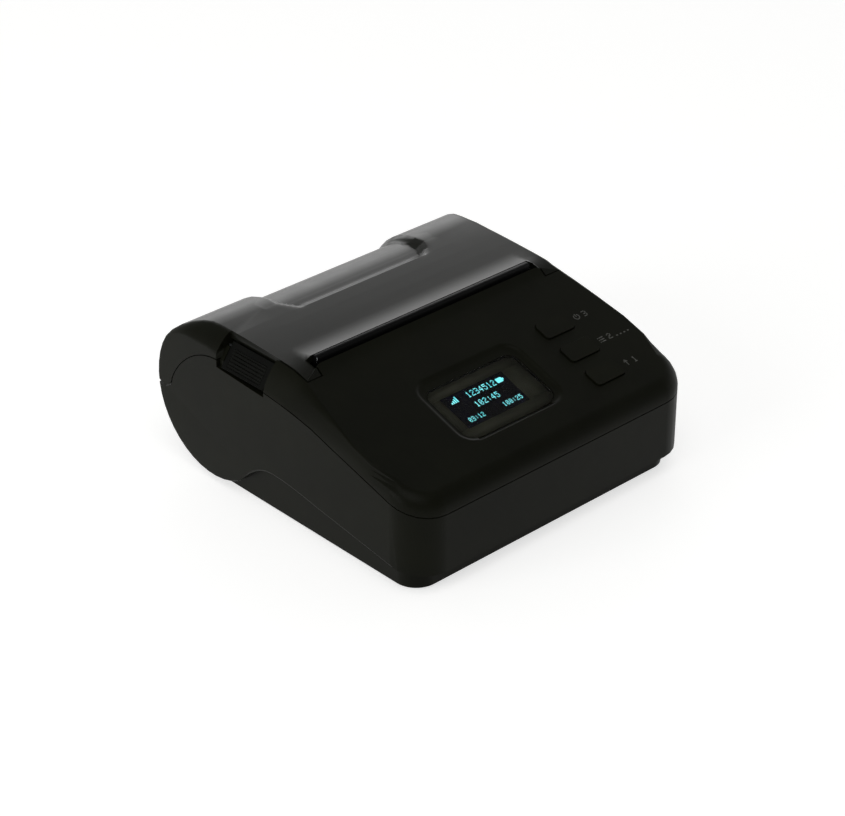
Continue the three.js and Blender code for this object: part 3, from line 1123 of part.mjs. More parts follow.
add('latch_lever', lever, looks.lever, latchGroup);
let gripBody = frontPrism(gripShape(grip.depth, 0, grip.rim / 4), latch.y0 + grip.margin + grip.rim / 4,
  latch.y1 - grip.margin - grip.rim / 4);
const ribPitch = (gripRun[1] - gripRun[0] - grip.rim) / grip.ribs;
for (let i = 0; i < grip.ribs; i += 1) {
  const run = gripRun[0] + grip.rim / 2 + i * ribPitch;
  const ribShape = [onBevel(run + ribPitch / 4, fit), onBevel(run + ribPitch * 3 / 4, fit),
    onBevel(run + ribPitch / 2, -grip.ribHeight)];
  gripBody = gripBody.add(frontPrism(ribShape, latch.y0 + grip.margin + grip.rim,
    latch.y1 - grip.margin - grip.rim));
}
add('latch_grip', gripBody, looks.grip, latchGroup);
add('latch_pin', rodY(latch.pinY0, latch.pinY1, latch.pivotX, latch.pivotZ, latch.pin),
  looks.steel, latchGroup);

export default root;
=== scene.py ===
# Portable receipt printer: finishes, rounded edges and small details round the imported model.
import json
import math

import bmesh
import bpy
from mathutils import Matrix, Vector

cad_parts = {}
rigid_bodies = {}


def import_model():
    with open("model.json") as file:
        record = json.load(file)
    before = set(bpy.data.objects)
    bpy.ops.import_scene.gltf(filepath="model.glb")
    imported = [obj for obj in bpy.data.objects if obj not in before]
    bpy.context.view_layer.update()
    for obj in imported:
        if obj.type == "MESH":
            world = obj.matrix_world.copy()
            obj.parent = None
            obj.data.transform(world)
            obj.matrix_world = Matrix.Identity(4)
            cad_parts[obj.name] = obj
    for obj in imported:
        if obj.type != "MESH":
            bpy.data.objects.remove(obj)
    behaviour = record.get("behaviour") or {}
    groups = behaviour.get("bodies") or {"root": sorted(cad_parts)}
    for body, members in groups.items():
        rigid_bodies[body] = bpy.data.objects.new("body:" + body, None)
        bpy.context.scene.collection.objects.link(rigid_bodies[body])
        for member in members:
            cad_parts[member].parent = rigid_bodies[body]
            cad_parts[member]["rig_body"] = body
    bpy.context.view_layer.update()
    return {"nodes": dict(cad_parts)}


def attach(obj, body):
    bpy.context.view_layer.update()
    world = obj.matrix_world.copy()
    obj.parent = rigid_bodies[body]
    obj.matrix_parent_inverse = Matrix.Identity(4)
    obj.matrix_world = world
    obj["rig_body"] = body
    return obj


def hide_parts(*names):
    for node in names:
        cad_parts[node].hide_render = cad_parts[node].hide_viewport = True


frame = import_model()
nodes = frame["nodes"]
mm = 0.001
print("stage: frame loaded,", len(nodes), "nodes")

# Camera: where the photographer stood, in mm, with the picture's 845 x 816 frame
shot = {
    "place": (-428.161, -459.701, 386.489),
    "ahead": (0.58658, 0.63107, -0.50761),
    "focal": 2518.77,       # in pixels of the picture
    "pictureWide": 845,
    "sensor": 36.0,
}


def makeCamera():
    data = bpy.data.cameras.new("shotCamera")
    camera = bpy.data.objects.new("shotCamera", data)
    bpy.context.scene.collection.objects.link(camera)
    data.sensor_width = shot["sensor"]
    data.lens = shot["focal"] / shot["pictureWide"] * shot["sensor"]
    data.clip_start, data.clip_end = 0.05, 60
    camera.location = Vector(shot["place"]) * mm
    camera.rotation_mode = "QUATERNION"
    camera.rotation_quaternion = Vector(shot["ahead"]).to_track_quat("-Z", "Y")
    bpy.context.scene.camera = camera


makeCamera()


# Shader helpers
def fromHex(code):
    parts = [int(code[i:i + 2], 16) / 255 for i in (1, 3, 5)]
    return [p / 12.92 if p <= 0.04045 else ((p + 0.055) / 1.055) ** 2.4 for p in parts] + [1]


def addNode(tree, kind, settings=None, links=None):
    node = tree.nodes.new(kind)
    for name, value in (settings or {}).items():
        if name in node.inputs.keys():
            node.inputs[name].default_value = value
        else:
            setattr(node, name, value)
    for name, source in (links or {}).items():
        tree.links.new(source, node.inputs[name])
    return node


def blankMaterial(name):
    material = bpy.data.materials.new(name)
    material.use_nodes = True
    material.node_tree.nodes.clear()
    return material, material.node_tree


def ramp(tree, source, low, high):
    # Noise gathers round its middle, so the colours drift between these two stops
    node = addNode(tree, "ShaderNodeValToRGB", {}, {"Fac": source})
    for stop, place, colour in zip(node.color_ramp.elements, (0.35, 0.65), (low, high)):
        stop.position, stop.color = place, colour
    return node.outputs["Color"]


def spread(tree, source, low, high):
    node = addNode(tree, "ShaderNodeMapRange", {"To Min": low, "To Max": high}, {"Value": source})
    return node.outputs["Result"]


def noise(tree, size, detail=2.0, stretch=(1, 1, 1)):
    # size is the width of one grain in millimetres
    place = addNode(tree, "ShaderNodeTexCoord").outputs["Object"]
    if stretch != (1, 1, 1):
        place = addNode(tree, "ShaderNodeMapping", {"Scale": stretch}, {"Vector": place}).outputs["Vector"]
    node = addNode(tree, "ShaderNodeTexNoise", {"Scale": 1 / (size * mm), "Detail": detail}, {"Vector": place})
    return node.outputs["Fac"]


def finishMaterial(name, dark, light, rough, grain, depth, specular=0.5, metallic=0.0, patch=14,
                   stretch=(1, 1, 1)):
    # dark and light are hex colours that drift across patches, grain is the surface's texture in mm
    material, tree = blankMaterial(name)
    patches = noise(tree, patch, 3.0)
    fine = noise(tree, grain, 2.0, stretch)
    bump = addNode(tree, "ShaderNodeBump", {"Strength": 1.0, "Distance": depth * mm}, {"Height": fine})
    shader = addNode(tree, "ShaderNodeBsdfPrincipled", {
        "Metallic": metallic, "Specular IOR Level": specular,
    }, {
        "Base Color": ramp(tree, patches, fromHex(dark), fromHex(light)),
        "Roughness": spread(tree, noise(tree, patch / 3, 4.0), rough[0], rough[1]),
        "Normal": bump.outputs["Normal"],
    })
    addNode(tree, "ShaderNodeOutputMaterial", {}, {"Surface": shader.outputs["BSDF"]})
    return material


looks = {
    # Injection-moulded ABS with a fine spark-eroded face: near black, soft sheen
    "textured ABS": finishMaterial("sparkErodedAbs", "#10110a", "#13140c", (0.36, 0.44), 0.5, 0.01, 0.064),
    # The cover has the same plastic from a smoother tool, so it carries the long highlights
    "satin ABS": finishMaterial("satinAbs", "#11120d", "#161712", (0.26, 0.34), 0.45, 0.006, 0.14),
    # Keys are the same black, a touch smoother from fingers
    "key ABS": finishMaterial("keyAbs", "#10110a", "#14150c", (0.36, 0.46), 0.4, 0.008, 0.064),
    # Latch lever, glossier than the casing round it
    "lever ABS": finishMaterial("leverAbs", "#050604", "#080906", (0.24, 0.32), 0.5, 0.004, 0.07),
    # Soft over-moulded grip, dull and slightly lighter
    "soft grip": finishMaterial("softGripElastomer", "#090a07", "#0e0f0b", (0.42, 0.55), 0.5, 0.02, 0.07),
    # Plain black nylon-filled parts inside
    "inner ABS": finishMaterial("innerAbs", "#191a1b", "#202122", (0.5, 0.62), 0.5, 0.012, 0.4),
    # Rolled and polished stainless steel
    "bright steel": finishMaterial("rolledSteel", "#9da0a3", "#b4b6b8", (0.22, 0.34), 0.4, 0.002, 0.5, 1.0,
                                   stretch=(0.15, 1, 1)),
    # Blackened steel of the tear bar: the oxide hides the metal, so it shines like a dull black paint
    "black steel": finishMaterial("blackenedSteel", "#050505", "#090909", (0.42, 0.54), 0.4, 0.004, 0.08, 0.0),
    # Zinc-plated sheet, grey and a little cloudy
    "zinc plate": finishMaterial("zincPlatedSheet", "#8d9298", "#a4a8ac", (0.32, 0.46), 0.8, 0.003, 0.5, 1.0, 6),
    # Extruded aluminium with draw lines along it
    "cast alloy": finishMaterial("extrudedAluminium", "#b0b3b6", "#c4c6c8", (0.3, 0.44), 0.5, 0.004, 0.5, 1.0, 9,
                                 stretch=(0.1, 1, 1)),
    # Ground rubber of the roller and the feet, dull dark grey
    "rubber": finishMaterial("groundRubber", "#1e1f20", "#28292a", (0.72, 0.85), 0.5, 0.02, 0.35),
    # Natural acetal of the gears and bushes
    "acetal": finishMaterial("acetal", "#d5d2c6", "#e6e4da", (0.3, 0.42), 0.9, 0.003, 0.45),
    # Glazed alumina of the print head, pale and glossy
    "ceramic": finishMaterial("glazedAlumina", "#c9c3b3", "#dad5c8", (0.12, 0.22), 1.0, 0.002, 0.5),
    # Green solder mask over copper, with a soft gloss
    "board": finishMaterial("solderMask", "#12482a", "#1a5a36", (0.3, 0.42), 1.4, 0.006, 0.45, 0.0, 5),
    # Moulded epoxy of chips and switches, matt dark grey
    "chip": finishMaterial("mouldedEpoxy", "#1b1c1e", "#242527", (0.6, 0.75), 0.4, 0.01, 0.3),
    # Polyimide film of the ribbon, amber and shiny
    "flex": finishMaterial("polyimideFilm", "#8f5414", "#b07024", (0.2, 0.32), 1.6, 0.004, 0.5),
    # Shrink sleeve round the cells, tight and slightly wavy
    "cell": finishMaterial("shrinkSleeve", "#1c5787", "#2a6fa2", (0.25, 0.38), 2.0, 0.01, 0.45),
    # Unlit glass of the display, nearly black with a blue cast
    "panel": finishMaterial("displayPanel", "#040410", "#06061a", (0.1, 0.16), 1.2, 0.001, 0.06),
    # Dark ink on the back of the window, a shade paler than the casing
    "ink": finishMaterial("windowInk", "#33342b", "#3a3b31", (0.4, 0.5), 0.6, 0.002, 0.1),
    # Pale tampo print of the marks beside the keys
    "print": finishMaterial("tampoPrint", "#3e3f3b", "#4e4f4a", (0.5, 0.6), 0.3, 0.002, 0.3),
}


def acrylicMaterial():
    # Smoked acrylic window, clear enough for the lit dots to shine through
    material, tree = blankMaterial("smokedAcrylic")
    haze = noise(tree, 6, 3.0)
    shader = addNode(tree, "ShaderNodeBsdfPrincipled", {
        "Transmission Weight": 1.0, "IOR": 1.16,
    }, {
        "Base Color": ramp(tree, haze, fromHex("#dededa"), fromHex("#e6e6e2")),
        "Roughness": spread(tree, haze, 0.02, 0.05),
    })
    addNode(tree, "ShaderNodeOutputMaterial", {}, {"Surface": shader.outputs["BSDF"]})
    return material


def litMaterial():
    # Lit dots of the display: cyan, slightly uneven as small displays are
    material, tree = blankMaterial("litDots")
    glow = noise(tree, 2.2, 2.0)
    shader = addNode(tree, "ShaderNodeBsdfPrincipled", {"Roughness": 0.4}, {
        "Base Color": ramp(tree, glow, fromHex("#3fb7c4"), fromHex("#5fd3de")),
        "Emission Color": ramp(tree, glow, fromHex("#62d8e6"), fromHex("#8cf0fa")),
    })
    shader.inputs["Emission Strength"].default_value = 1.35
    addNode(tree, "ShaderNodeOutputMaterial", {}, {"Surface": shader.outputs["BSDF"]})
    return material


looks["acrylic"] = acrylicMaterial()
looks["lit"] = litMaterial()
print("stage: materials,", len(looks))


# Mesh helpers
def newPiece(name, mesh, look, body):
    piece = bpy.data.objects.new(name, mesh)
    bpy.context.scene.collection.objects.link(piece)
    mesh.materials.clear()
    mesh.materials.append(looks[look])
    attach(piece, body)
    return piece


def meshFrom(bm, name):
    mesh = bpy.data.meshes.new(name)
    bm.normal_update()
    bm.to_mesh(mesh)
    bm.free()
    for face in mesh.polygons:
        face.use_smooth = True
    return mesh


def mergedCopy(node):
    bm = bmesh.new()
    bm.from_mesh(nodes[node].data)
    bmesh.ops.remove_doubles(bm, verts=bm.verts, dist=0.002 * mm)
    bmesh.ops.recalc_face_normals(bm, faces=bm.faces)
    bmesh.ops.dissolve_limit(bm, angle_limit=math.radians(0.6), verts=bm.verts, edges=bm.edges)
    return bm


def bevelWhere(bm, test, width, segments, whole=False):
    # Edges with room beside them get the full width, the crowded ones a quarter of it.
    # A whole line, such as a rim, is rounded in one go so that its light runs on unbroken
    picked = {e for e in bm.edges if len(e.link_faces) == 2 and test(e)}

    def roomy(edge):
        beside = [x for v in edge.verts for x in v.link_edges if x not in picked]
        return all(x.calc_length() > 1.3 * width * mm for x in beside)

    wide = picked if whole else {e for e in picked if roomy(e)}
    for edges, share in ((wide, 1), (picked - wide, 0.25)):
        edges = [e for e in edges if e.is_valid]
        if edges:
            bmesh.ops.bevel(bm, geom=edges, offset=width * share * mm, offset_type="OFFSET", affect="EDGES",
                            segments=segments, profile=0.5, material=-1, clamp_overlap=not whole)


def sharperThan(angle):
    limit = math.radians(angle)
    return lambda e: e.calc_face_angle(0) > limit


def evenNormals(piece):
    piece.data.set_sharp_from_angle(angle=math.radians(50))
    modifier = piece.modifiers.new("evenNormals", "WEIGHTED_NORMAL")
    modifier.keep_sharp = True
    modifier.weight = 50


def softenTop(bm, low, high, step, rounds):
    # Cuts the top inside a box into a fine grid and lets its creases relax into soft flanks
    def faceIn(face):
        spans = [sorted(v.co[i] / mm for v in face.verts) for i in range(3)]
        return face.normal.z > 0.3 and all(s[-1] > low[i] and s[0] < high[i] for i, s in enumerate(spans))

    for axis in (0, 1):
        for k in range(int((high[axis] - low[axis]) / step) + 1):
            faces = [f for f in bm.faces if faceIn(f)]
            geom = list({*faces, *(e for f in faces for e in f.edges), *(v for f in faces for v in f.verts)})
            point, way = Vector((0, 0, 0)), Vector((0, 0, 0))
            point[axis], way[axis] = (low[axis] + k * step) * mm, 1
            bmesh.ops.bisect_plane(bm, geom=geom, dist=0.02 * mm, plane_co=point, plane_no=way)
            bm.normal_update()
    inner = [v for v in bm.verts if all(low[i] < v.co[i] / mm < high[i] for i in range(3))
             and all(f.normal.z > 0.3 for f in v.link_faces)]
    for _ in range(rounds):
        bmesh.ops.smooth_vert(bm, verts=inner, factor=0.5, use_axis_x=False, use_axis_y=False, use_axis_z=True)


def dress(node, look, slot, bevel, segments, angle=30, wide=(), soft=None, zone=None, even=True, shape=None):
    # A rounded copy stands for the node, in the same place
    bm = mergedCopy(node)
    if shape:
        shape(bm)
    for test, width, count in wide:
        bevelWhere(bm, test, width, count, whole=True)
    bevelWhere(bm, sharperThan(angle), bevel, segments)
    if soft:
        softenTop(bm, *soft)
    piece = newPiece(node + "_dressed", meshFrom(bm, node + "_dressed"), look, nodes[node]["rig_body"])
    if zone:
        piece.data.materials.append(looks[zone[0]])
        for face in piece.data.polygons:
            face.material_index = int(zone[1](face.center / mm))
    if even:
        evenNormals(piece)
    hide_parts(node)


# The deck's own plane, for what is cut in it, printed or set on it
deck = {"frontY": -55.0, "frontZ": 29.6, "riseShare": 0.3364}
recess = {"x": -4.9, "v": 24.65, "wide": 36.2, "tall": 22.5, "corner": 4.0, "ramp": 1.5,
          "rimReach": 0.2, "rimOff": 0.08}
arch = {"minX": 53.8, "y": (-52, 22), "z": (5.5, 14.6), "turn": 0.7}


def deckPlace(point):
    # A point in mm told along the deck: across, up the slope and off it
    pitch = math.atan(deck["riseShare"])
    y, z = point.y - deck["frontY"], point.z - deck["frontZ"]
    return point.x, y * math.cos(pitch) + z * math.sin(pitch), z * math.cos(pitch) - y * math.sin(pitch)


def recessGap(point, grow=0.0):
    # How far a point on the deck lies outside the recess round the window
    x, v, off = deckPlace(point)
    dx = x - recess["x"]
    dv = v - recess["v"]
    corner = recess["corner"] + grow
    out = (abs(dx) - recess["wide"] / 2 - grow + corner, abs(dv) - recess["tall"] / 2 - grow + corner)
    gap = math.hypot(max(out[0], 0), max(out[1], 0)) + min(max(out), 0) - corner
    way = Vector((math.copysign(max(out[0], 0), dx), math.copysign(max(out[1], 0), dv), 0))
    if not way.length:
        way = Vector((math.copysign(1, dx), 0, 0)) if out[0] > out[1] else Vector((0, math.copysign(1, dv), 0))
    return gap, off, way.normalized()


def atRim(gap, off):
    return abs(off) < recess["rimOff"] and abs(gap) < recess["rimReach"]


def rampRecess(bm):
    # The recess falls away as a soft ramp: its rim steps back along the deck
    pitch = Matrix.Rotation(math.atan(deck["riseShare"]), 3, "X")
    for vert in bm.verts:
        gap, off, way = recessGap(vert.co / mm)
        if atRim(gap, off):
            vert.co += pitch @ way * recess["ramp"] * mm
    bm.normal_update()


def onRecessRim(edge):
    return all(atRim(*recessGap(v.co / mm, recess["ramp"])[:2]) for v in edge.verts)


def onArch(edge):
    # The lower edge of the arched ledges on both sides
    (frontY, rearY), (lowZ, highZ) = arch["y"], arch["z"]
    places = [v.co / mm for v in edge.verts]
    return (edge.calc_face_angle(0) > arch["turn"]
            and all(abs(p.x) > arch["minX"] and lowZ < p.z < highZ and frontY < p.y < rearY for p in places))


# Extra shaping: wide roundings, the softened sunk panel, a second finish where a tool is coarser, and a painted
# glint of bright steel at the tear bar's ends
shaping = {
    "top_shell": {"shape": rampRecess, "wide": [(onRecessRim, 0.4, 4)]},
    "bottom_shell": {"wide": [(onArch, 0.8, 5)]},
    "cover": {"soft": ((-34, 19.5, 45.2), (34, 32.3, 49.4), 0.8, 9),
              "zone": ("textured ABS", lambda p: abs(p.x) > 48.3)},
    "tear_bar": {"angle": 60, "even": False,
                 # Bright steel on the top front edges at both ends of the tear bar stands in for the glint seen
                 # there: a painted glint, done as bare metal
                 "zone": ("bright steel", lambda p: abs(p.x) > 40.9 and p.z > 47.2 and p.y < -0.82)},
}

# Outer plastic, in order: bevel in mm, its steps
shells = {
    "bottom_shell": ("textured ABS", "casing", 0.35, 3),
    "top_shell": ("textured ABS", "casing", 0.35, 3),
    "cover": ("satin ABS", "cover", 0.35, 3),
    "latch_lever": ("lever ABS", "lever", 0.2, 2),
    "latch_grip": ("soft grip", "grip", 0.12, 2),
    "feed_key": ("key ABS", "key", 0.3, 3),
    "menu_key": ("key ABS", "key", 0.3, 3),
    "power_key": ("key ABS", "key", 0.3, 3),
    "battery_door": ("textured ABS", "casing", 0.2, 2),
    "tear_bar": ("black steel", "steel", 0.18, 3),
}
for node, (look, slot, bevel, segments) in shells.items():
    dress(node, look, slot, bevel, segments, **shaping.get(node, {}))
print("stage: shells")

# Everything else keeps its own solid, with its finish and rounded edges
inner = {
    "display_module": ("panel", 0.05), "display_window": ("acrylic", 0.12),
    "key_switch_1": ("chip", 0.1), "key_switch_2": ("chip", 0.1), "key_switch_3": ("chip", 0.1),
    "key_board": ("board", 0.08), "main_board": ("board", 0.08),
    "controller_chip": ("chip", 0.12), "motor_driver_chip": ("chip", 0.12), "board_capacitor": ("chip", 0.3),
    "cover_liner": ("inner ABS", 0.2), "paper_bucket": ("inner ABS", 0.2), "battery_case": ("inner ABS", 0.2),
    "power_jack": ("inner ABS", 0.2), "usb_socket": ("bright steel", 0.12),
    "liner_screw_1": ("bright steel", 0.12), "liner_screw_2": ("bright steel", 0.12),
    "hinge_pin_left": ("bright steel", 0.1), "hinge_pin_right": ("bright steel", 0.1),
    "platen_shaft": ("bright steel", 0.12), "platen_rubber": ("rubber", 0.2), "platen_gear": ("acetal", 0.08),
    "platen_bush_left": ("acetal", 0.1), "platen_bush_right": ("acetal", 0.1), "idler_gear": ("acetal", 0.08),
    "idler_axle": ("bright steel", 0.1), "motor_pinion": ("cast alloy", 0.06), "stepper_motor": ("zinc plate", 0.3),
    "motor_screw_1": ("bright steel", 0.1), "motor_screw_2": ("bright steel", 0.1),
    "mechanism_frame": ("zinc plate", 0.12), "print_head": ("ceramic", 0.1), "heat_sink": ("cast alloy", 0.15),
    "head_spring_1": ("bright steel", 0), "head_spring_2": ("bright steel", 0), "head_ribbon": ("flex", 0),
    "paper_sensor": ("chip", 0.12), "battery_cell_1": ("cell", 0.4), "battery_cell_2": ("cell", 0.4),
    "latch_pin": ("bright steel", 0.1),
}
inner.update({f"case_screw_{i}": ("bright steel", 0.15) for i in range(1, 5)})
inner.update({f"rubber_foot_{i}": ("rubber", 0.25) for i in range(1, 5)})


def finishNode(node, look, bevel):
    solid = nodes[node]
    solid.data.materials.clear()
    solid.data.materials.append(looks[look])
    if not bevel:
        return
    weld = solid.modifiers.new("weld", "WELD")
    weld.merge_threshold = 0.002 * mm
    flat = solid.modifiers.new("flat", "DECIMATE")
    flat.decimate_type = "DISSOLVE"
    flat.angle_limit = math.radians(0.6)
    edge = solid.modifiers.new("edge", "BEVEL")
    edge.width, edge.segments, edge.limit_method = bevel * mm, 2, "ANGLE"
    edge.angle_limit, edge.use_clamp_overlap, edge.harden_normals = math.radians(30), True, True


for node, (look, bevel) in inner.items():
    finishNode(node, look, bevel)
print("stage: inner parts")


def onDeck(bm):
    # Turns a flat mesh drawn in x and v, in mm, on to the deck
    pitch = math.atan(deck["riseShare"])
    turn = Matrix.Translation(Vector((0, deck["frontY"], deck["frontZ"])) * mm) @ Matrix.Rotation(pitch, 4, "X")
    bmesh.ops.scale(bm, vec=(mm, mm, mm), verts=bm.verts)
    bmesh.ops.transform(bm, matrix=turn, verts=bm.verts)


def plate(bm, x, v, wide, tall, low, high):
    made = bmesh.ops.create_cube(bm, size=1.0)["verts"]
    bmesh.ops.scale(bm, vec=(wide, tall, high - low), verts=made)
    bmesh.ops.translate(bm, vec=(x, v, (low + high) / 2), verts=made)
    return made


# Lit dots behind the window: a battery mark, signal bars and plain numbers
display = {
    "x": -7.05, "v": 23.7, "dot": 0.172, "wide": 128, "tall": 64, "low": -1.99, "high": -1.96,
    "rows": [("1234512", 44.5, 2.6, 9.2, 1.05), ("102:45", 43.5, 26, 8.9, 1.0), ("03:12", 10, 49, 6.8, 0.8),
             ("100:25", 85, 49.5, 7.2, 0.8)],
    "battery": [(110.5, 5, 13, 8), (111.5, 4, 11, 10), (124, 7, 2, 4)],
    "bars": [(9, 10, 2.6, 3.5), (13, 7.5, 2.6, 6), (17, 4.5, 2.6, 9), (21, 1, 2.6, 12.5)],
}
digits = {
    "0": "01110 10001 10011 10101 11001 10001 01110", "1": "00100 01100 00100 00100 00100 00100 01110",
    "2": "01110 10001 00001 00110 01000 10000 11111", "3": "11110 00001 00001 01110 00001 00001 11110",
    "4": "00010 00110 01010 10010 11111 00010 00010", "5": "11111 10000 11110 00001 00001 10001 01110",
    ":": "00000 00100 00100 00000 00100 00100 00000",
}


def litDots():
    bm = bmesh.new()
    d = display

    def dot(column, row, wide=1.0, tall=1.0):
        x = d["x"] + (column + wide / 2 - d["wide"] / 2) * d["dot"]
        v = d["v"] - (row + tall / 2 - d["tall"] / 2) * d["dot"]
        plate(bm, x, v, wide * d["dot"], tall * d["dot"], d["low"], d["high"])

    for text, column, row, pitch, size in d["rows"]:
        for i, letter in enumerate(text):
            for j, bits in enumerate(digits[letter].split()):
                for k, bit in enumerate(bits):
                    if bit == "1":
                        dot(column + i * pitch + k * 1.3 * size, row + j * 1.7 * size, 1.1 * size, 1.6 * size)
    for block in (*d["battery"], *d["bars"]):
        dot(*block)
    onDeck(bm)
    newPiece("display_dots", meshFrom(bm, "display_dots"), "lit", "base")


litDots()


# Dark mask printed on the back of the window, leaving the lit area open
mask = {"x": -5.15, "v": 23.6, "wide": 33.7, "tall": 19.6, "openX": -7.05, "openV": 23.7, "openWide": 23.4,
        "openTall": 12.4, "low": -1.78, "high": -1.75}


def displayMask():
    bm = bmesh.new()
    m = mask
    left, right = m["x"] - m["wide"] / 2, m["x"] + m["wide"] / 2
    front, back = m["v"] - m["tall"] / 2, m["v"] + m["tall"] / 2
    openLeft, openRight = m["openX"] - m["openWide"] / 2, m["openX"] + m["openWide"] / 2
    openFront, openBack = m["openV"] - m["openTall"] / 2, m["openV"] + m["openTall"] / 2
    for x0, x1, v0, v1 in ((left, right, front, openFront), (left, right, openBack, back),
                           (left, openLeft, openFront, openBack), (openRight, right, openFront, openBack)):
        plate(bm, (x0 + x1) / 2, (v0 + v1) / 2, x1 - x0, v1 - v0, m["low"], m["high"])
    onDeck(bm)
    newPiece("display_mask", meshFrom(bm, "display_mask"), "ink", "base")


displayMask()

# Printed marks beside the keys: plain pictograms, numbers and a row of dots
marks = {"x": 39.2, "first": 13.5, "pitch": 10.6, "size": 2.2, "line": 0.32, "low": 0.002, "high": 0.02,
         "numberX": 41.8, "numberDot": 0.3, "dotsFrom": 44.8, "dotsPitch": 1.5, "dots": 4}


def ringMark(bm, x, v, radius, line, gap):
    # An open ring, from a profile spun about the mark's middle
    m = marks
    z0, z1 = m["low"], m["high"]
    start = math.pi / 2 + gap
    corners = [(radius - line / 2, z0), (radius + line / 2, z0), (radius + line / 2, z1), (radius - line / 2, z1)]
    verts = [bm.verts.new((x + r * math.cos(start), v + r * math.sin(start), z)) for r, z in corners]
    face = bm.faces.new(verts)
    bmesh.ops.spin(bm, geom=[face, *face.edges, *verts], cent=(x, v, 0), axis=(0, 0, 1),
                   angle=2 * math.pi - 2 * gap, steps=24, use_duplicate=False)


def keyMarks():
    bm = bmesh.new()
    m = marks
    half = m["size"] / 2
    feedV, menuV, powerV = [m["first"] + i * m["pitch"] for i in range(3)]
    ringMark(bm, m["x"], powerV, half - m["line"] / 2, m["line"], math.radians(32))
    plate(bm, m["x"], powerV + half * 0.55, m["line"], half * 1.1, m["low"], m["high"])
    for k in (-1, 0, 1):
        plate(bm, m["x"] + 0.35, menuV + k * half * 0.72, m["size"] * 0.72, m["line"], m["low"], m["high"])
        plate(bm, m["x"] - half * 0.8, menuV + k * half * 0.72, m["line"], m["line"], m["low"], m["high"])
    plate(bm, m["x"], feedV, m["line"], m["size"], m["low"], m["high"])
    for side in (-1, 1):
        arm = plate(bm, 0, -half * 0.42, m["line"], half * 1.0, m["low"], m["high"])
        bmesh.ops.rotate(bm, cent=(0, 0, 0), matrix=Matrix.Rotation(side * math.radians(42), 3, "Z"), verts=arm)
        bmesh.ops.translate(bm, vec=(m["x"], feedV + half, 0), verts=arm)
    for number, middle in (("1", feedV), ("2", menuV), ("3", powerV)):
        for j, bits in enumerate(digits[number].split()):
            for k, bit in enumerate(bits):
                if bit == "1":
                    plate(bm, m["numberX"] + k * m["numberDot"], middle + (3 - j) * m["numberDot"],
                          m["numberDot"] * 1.05, m["numberDot"] * 1.05, m["low"], m["high"])
    for k in range(m["dots"]):
        plate(bm, m["dotsFrom"] + k * m["dotsPitch"], menuV - m["size"] / 2 + m["line"] / 2, m["line"] * 2,
              m["line"] * 1.4, m["low"], m["high"])
    bmesh.ops.recalc_face_normals(bm, faces=bm.faces)
    onDeck(bm)
    newPiece("key_marks", meshFrom(bm, "key_marks"), "print", "base")


keyMarks()
print("stage: display and marks")


# Studio: pale floor, a bright low surround and a darker ceiling
studio = {
    "floorSize": 24.0, "floorHex": "#d0d0ce", "floorLift": 0.66,
    "skyLow": 1.05, "skyHigh": 0.28, "skyFrom": 0.12, "skyTo": 0.62,
    "dimShare": 0.35, "dimFrom": 0.6, "dimTo": -0.4,
    "glow": 1.38, "glowWay": (0.62, 0.72, 0.16), "glowFrom": 0.88, "glowTo": 0.99,
    "lamps": [
        ("leftLamp", (-1.45, 0.2, 0.55), 0.9, 0.9, 7.5),
        ("topLamp", (-0.5, -0.6, 1.5), 1.2, 1.2, 8.5),
    ],
}


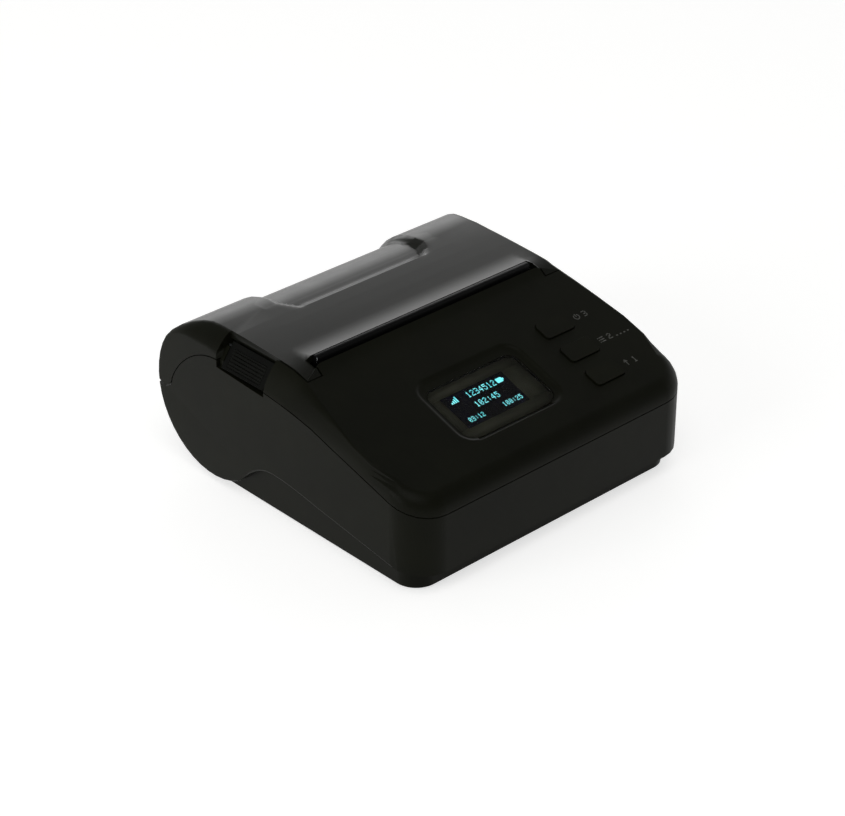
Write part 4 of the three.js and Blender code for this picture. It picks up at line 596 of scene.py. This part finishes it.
def makeStudio():
    s = studio
    bm = bmesh.new()
    bmesh.ops.create_grid(bm, x_segments=1, y_segments=1, size=s["floorSize"] / 2)
    floor = bpy.data.objects.new("floor", bpy.data.meshes.new("floor"))
    bm.to_mesh(floor.data)
    bm.free()
    bpy.context.scene.collection.objects.link(floor)
    material, tree = blankMaterial("paperSweep")
    path = addNode(tree, "ShaderNodeLightPath")
    seen = addNode(tree, "ShaderNodeMath", {"operation": "MAXIMUM"})
    tree.links.new(path.outputs["Is Camera Ray"], seen.inputs[0])
    tree.links.new(path.outputs["Is Glossy Ray"], seen.inputs[1])
    seenAtAll = addNode(tree, "ShaderNodeMath", {"operation": "MAXIMUM"})
    tree.links.new(seen.outputs[0], seenAtAll.inputs[0])
    tree.links.new(path.outputs["Is Transmission Ray"], seenAtAll.inputs[1])
    lift = addNode(tree, "ShaderNodeMath", {"operation": "MULTIPLY"})
    tree.links.new(seenAtAll.outputs[0], lift.inputs[0])
    lift.inputs[1].default_value = s["floorLift"]
    paper = addNode(tree, "ShaderNodeBsdfDiffuse", {"Color": fromHex(s["floorHex"])})
    glow = addNode(tree, "ShaderNodeEmission", {"Color": (1, 1, 1, 1)}, {"Strength": lift.outputs[0]})
    both = addNode(tree, "ShaderNodeAddShader")
    tree.links.new(paper.outputs[0], both.inputs[0])
    tree.links.new(glow.outputs[0], both.inputs[1])
    addNode(tree, "ShaderNodeOutputMaterial", {}, {"Surface": both.outputs[0]})
    floor.data.materials.append(material)

    world = bpy.data.worlds.new("surround")
    bpy.context.scene.world = world
    world.use_nodes = True
    tree = world.node_tree
    tree.nodes.clear()
    way = addNode(tree, "ShaderNodeTexCoord").outputs["Generated"]
    axes = addNode(tree, "ShaderNodeSeparateXYZ", {}, {"Vector": way})
    level = addNode(tree, "ShaderNodeMapRange", {
        "From Min": s["skyFrom"], "From Max": s["skyTo"], "To Min": s["skyLow"], "To Max": s["skyHigh"],
        "interpolation_type": "SMOOTHSTEP",
    }, {"Value": axes.outputs["Z"]}).outputs["Result"]
    side = addNode(tree, "ShaderNodeVectorMath", {"operation": "DOT_PRODUCT"})
    tree.links.new(way, side.inputs[0])
    side.inputs[1].default_value = Vector((*s["glowWay"][:2], 0)).normalized()
    dim = addNode(tree, "ShaderNodeMapRange", {
        "From Min": s["dimFrom"], "From Max": s["dimTo"], "To Min": 1.0, "To Max": s["dimShare"],
        "interpolation_type": "SMOOTHSTEP",
    }, {"Value": side.outputs["Value"]}).outputs["Result"]
    toward = addNode(tree, "ShaderNodeVectorMath", {"operation": "DOT_PRODUCT"})
    tree.links.new(way, toward.inputs[0])
    toward.inputs[1].default_value = Vector(s["glowWay"]).normalized()
    glow = addNode(tree, "ShaderNodeMapRange", {
        "From Min": s["glowFrom"], "From Max": s["glowTo"], "To Min": 0.0, "To Max": s["glow"],
        "interpolation_type": "SMOOTHSTEP",
    }, {"Value": toward.outputs["Value"]}).outputs["Result"]
    sky = addNode(tree, "ShaderNodeMath", {"operation": "MULTIPLY_ADD"})
    tree.links.new(level, sky.inputs[0])
    tree.links.new(dim, sky.inputs[1])
    tree.links.new(glow, sky.inputs[2])
    light = addNode(tree, "ShaderNodeBackground", {"Color": (1, 1, 1, 1)}, {"Strength": sky.outputs[0]})
    addNode(tree, "ShaderNodeOutputWorld", {}, {"Surface": light.outputs[0]})

    for name, place, wide, tall, power in s["lamps"]:
        data = bpy.data.lights.new(name, "AREA")
        data.shape, data.size, data.size_y, data.energy = "RECTANGLE", wide, tall, power
        lamp = bpy.data.objects.new(name, data)
        bpy.context.scene.collection.objects.link(lamp)
        lamp.location = place
        lamp.rotation_mode = "QUATERNION"
        lamp.rotation_quaternion = (Vector((0, 0, 0.03)) - Vector(place)).to_track_quat("-Z", "Y")


makeStudio()
bpy.context.scene.view_settings.view_transform = "Standard"
print("stage: studio")
